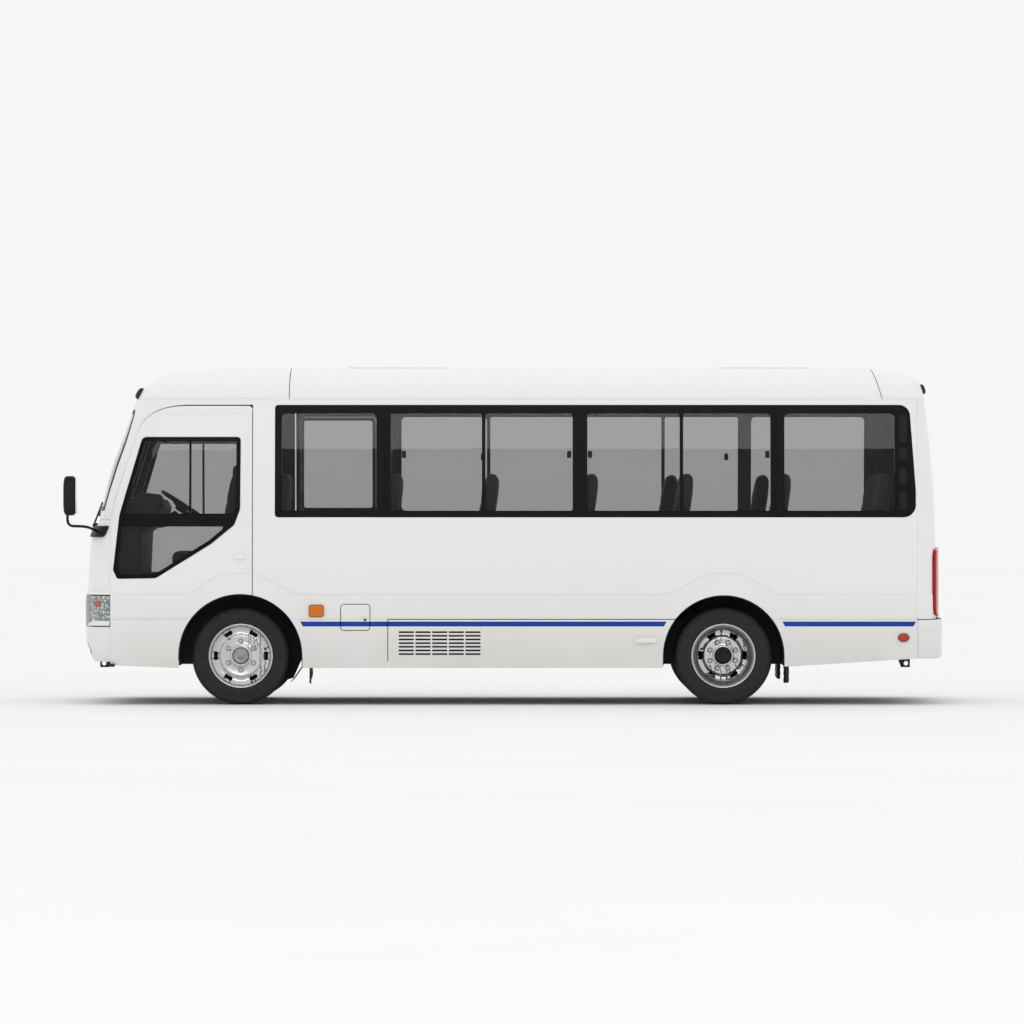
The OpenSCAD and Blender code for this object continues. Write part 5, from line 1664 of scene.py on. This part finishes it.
# %% Pads
def pad(name, size, place, body, replaced, channels=(), crown=0.3, pull=14, cuts=(13, 20, 5)):
    """A sewn pad. size is width, length and thickness; place puts its own coordinates into the vehicle."""
    verts, faces, seed = [], [], Vector([random.uniform(-50, 50) for _ in range(3)])
    for axis in range(3):
        for sign in (-1, 1):
            a, b = [k for k in range(3) if k != axis]
            na, nb, start = cuts[a], cuts[b], len(verts)
            for j in range(nb + 1):
                for i in range(na + 1):
                    p = [0.0, 0.0, 0.0]
                    p[axis], p[a], p[b] = sign, 2 * i / na - 1, 2 * j / nb - 1
                    verts.append(p)
            for j in range(nb):
                for i in range(na):
                    k = start + j * (na + 1) + i
                    faces.append((k, k + 1, k + na + 2, k + na + 1))
    out = []
    for u, v, w in verts:
        norm = (abs(u) ** 7 + abs(v) ** 7 + (abs(w) * 0.9) ** 3) ** (1 / 6.0)
        u, v, w = u / max(norm, 0.8), v / max(norm, 0.8), w / max(norm, 0.8)
        x, y, z = u * size[0] / 2, v * size[1] / 2, w * size[2] / 2
        dome_share = max(0.0, 1 - u * u) * max(0.0, 1 - v ** 4)
        z *= 1 + crown * dome_share
        x -= math.copysign(pull * max(0.0, 1 - v * v), u) * abs(u) ** 3
        y -= math.copysign(pull * 0.6 * max(0.0, 1 - u * u), v) * abs(v) ** 3
        for q in channels:
            z -= (7.0 if w > 0 else 0.0) * math.exp(-((v - q) / 0.035) ** 2) * max(0.0, 1 - abs(u) ** 8)
        for q in (-0.72, 0.72):
            z -= (6.0 if w > 0 else 0.0) * math.exp(-((u - q) / 0.04) ** 2) * max(0.0, 1 - abs(v) ** 8)
        z += 2.5 * noise.noise(Vector((x, y, z)) / 90 + seed)
        out.append(tuple(c * MM for c in place(x, y, z)))
    piece = clean_piece(name, out, faces, moquette, body, "seat_cloth", replaced)
    return piece


def seat(name, x, y, width, node, depth=450):
    """Cushion and backrest of one place; x is the rear of the backrest's top."""
    low, high = Vector((x + 158, y, 1150)), Vector((x + 46, y, 1886))
    rise = (high - low).normalized()
    front = Vector((rise.z, 0, -rise.x))
    middle = (low + high) / 2

    def on_back(a, b, c):
        narrow = 1 - 0.16 * ease((b - 190) / 180)
        return middle + Vector((0, a * narrow, 0)) + rise * b + front * c
    pad(f"{name}_back", (width, (high - low).length - 12, 96), on_back, "body", [node],
        (-0.55, -0.1, 0.3, 0.66))
    slope = math.radians(3)
    cushion = Vector((x + 150 + depth / 2, y, 1172))

    def on_cushion(a, b, c):
        return cushion + Vector((b * math.cos(slope) - c * math.sin(slope), a, b * math.sin(slope) + c))
    pad(f"{name}_cushion", (width, depth - 12, 104), on_cushion, "body", [node], (-0.3, 0.25),
        cuts=(13, 14, 5))


left_rows, right_rows, left_places = (836, 50, -760, -1535, -2330), (50, -760, -1450, -2215), (312, 730)
for row, x in enumerate(left_rows):
    for place_no, y in enumerate(left_places):
        seat(f"left_seat_{row + 1}_{place_no + 1}", x, y, 408, "passenger_seats")
for row, x in enumerate(right_rows):
    seat(f"right_seat_{row + 1}", x, -720, 432, "passenger_seats")
for place_no, y in enumerate((-702, -234, 234, 702)):
    seat(f"bench_seat_{place_no + 1}", -3150, y, 458, "passenger_seats")
for place_no, y in enumerate(left_places):
    seat(f"front_fold_seat_{place_no + 1}", 1738, y, 408, "passenger_seats", 190)
driver_y = 520
seat("driver_seat", 2130, driver_y, 452, "driver_seat")
pad("driver_headrest", (240, 190, 84),
    lambda a, b, c: Vector((2174, driver_y + a, 1858 + b * 0.98)) + Vector((c, 0, 0)),
    "body", ["driver_seat"], cuts=(10, 9, 5))

# %% Frames under the seats
cabin_floor, raised_floor = 790, 905
frames = [(x + 236, x + 474, 134, 476, cabin_floor) for x in left_rows]
frames += [(x + 236, x + 474, -876, -564, raised_floor if x == right_rows[-1] else cabin_floor)
           for x in right_rows]
frames += [(-2914, -2676, -876, 876, cabin_floor), (1800, 1936, 134, 476, cabin_floor),
           (2364, 2608, 348, 478, cabin_floor)]
legs = [rounded_box(f"seat_frame_{i}", (x0, y0, z0 + 1), (x1, y1, 1104), 14, black_moulding, "body",
                    "cabin_plastic") for i, (x0, x1, y0, y1, z0) in enumerate(frames)]
joined("seat_frames", legs)

# %% [markdown]
# ## Driver's place
# The dashboard is one moulded body with a hood over the instruments. Its side outline is swept across the
# cab, and its edges are rolled with a large radius, as moulded vinyl needs.

# %% Dashboard, column and steering wheel
dash_outline = [(2990, 792), (3140, 792), (3196, 1200), (3206, 1470), (3150, 1590), (3078, 1672), (2950, 1690),
                (2838, 1664), (2806, 1602), (2836, 1476), (2962, 1402)]
dash_loop = rounded(dash_outline, [31, 31, 40, 40, 50, 50, 50, 34, 34, 34, 20])
sheet("dashboard_body", dash_loop, [], lambda x, z, depth: (x, 818 - depth, z), 1636, dash_vinyl, "body",
      "cabin_plastic", ["dashboard"], rim=26, step=(60, 60))
hood_outline = rounded([(2780, 1590), (3000, 1600), (3060, 1668), (2960, 1722), (2820, 1706)], 34)
sheet("instrument_hood", hood_outline, [], lambda x, z, depth: (x, 742 - depth, z), 430, dash_vinyl, "body",
      "cabin_plastic", rim=28, step=(50, 50))
column = [(2842, driver_y, 1470), (2741, driver_y, 1498), (2672, driver_y, 1546)]
tube("column_shroud", column, 44, black_moulding, "body", "cabin_plastic", ["dashboard"], 60, 28)
tube("indicator_stalk", [(2715, 540, 1522), (2700, 620, 1540), (2694, 690, 1552)], 8, black_moulding, "body",
     "cabin_plastic", (), 30)
axis = Vector((-math.sin(math.radians(33)), 0, math.cos(math.radians(33))))
turn_wheel = (Matrix.Translation(Vector((2625, driver_y, 1613)) * MM)
              @ Vector((0, 1, 0)).rotation_difference(axis).to_matrix().to_4x4())


def in_wheel(piece):
    piece.data.transform(turn_wheel)
    return piece


grip = [(211 + 14 * math.cos(a), 14 * math.sin(a)) for a in np.linspace(0, 2 * math.pi, 18, endpoint=False)]
in_wheel(turned("steering_rim", grip, (0, 0, 0), 1, black_moulding, "steering_wheel", "cabin_plastic",
                ["steering_wheel"], 108, lambda k, r, out: r - (1.2 if k % 9 == 0 and r < 211 else 0)))
in_wheel(turned("steering_boss", [(0.01, -60), (48, -60), (56, -48), (54, -30), (44, -22), (0.01, -18)],
                (0, 0, 0), 1, black_moulding, "steering_wheel", "cabin_plastic", steps=64))
for k, a in enumerate((90, 210, 330)):
    cosine, sine = math.cos(math.radians(a)), math.sin(math.radians(a))
    in_wheel(tube(f"steering_spoke_{k + 1}", [(30 * cosine, -40, 30 * sine), (120 * cosine, -26, 120 * sine),
                                              (204 * cosine, -2, 204 * sine)], 11, black_moulding,
                  "steering_wheel", "cabin_plastic", (), 60))

# %% [markdown]
# ## Finishes of the construction
# The frame, axles, tank, springs and floor are right as they were drawn, so they stay and get their real
# finish: brushed chassis enamel, cast iron, ribbed vinyl and so on.

# %% Finishes for the drawn solids
finishes = {"chassis_frame": chassis_enamel, "cross_members": chassis_enamel, "engine": drum_iron,
            "fuel_tank": chassis_enamel, "exhaust": exhaust_steel, "propeller_shaft": chassis_enamel,
            "front_axle": drum_iron, "rear_axle": drum_iron, "leaf_springs": drum_iron, "floor": floor_vinyl,
            "wheel_houses": flap_rubber, "engine_cover": floor_vinyl, "entrance_steps": step_rubber,
            "grab_rails": exhaust_steel, "front_left_knuckle": drum_iron, "front_right_knuckle": drum_iron}
for node, finish in finishes.items():
    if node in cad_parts:
        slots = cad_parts[node].data.materials
        slots.clear()
        slots.append(finish)
shown = [name for name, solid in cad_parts.items() if not solid.hide_render]
print("drawn solids still shown:", ", ".join(sorted(shown)))
print("without a finish:", sorted(set(shown) - set(finishes)))
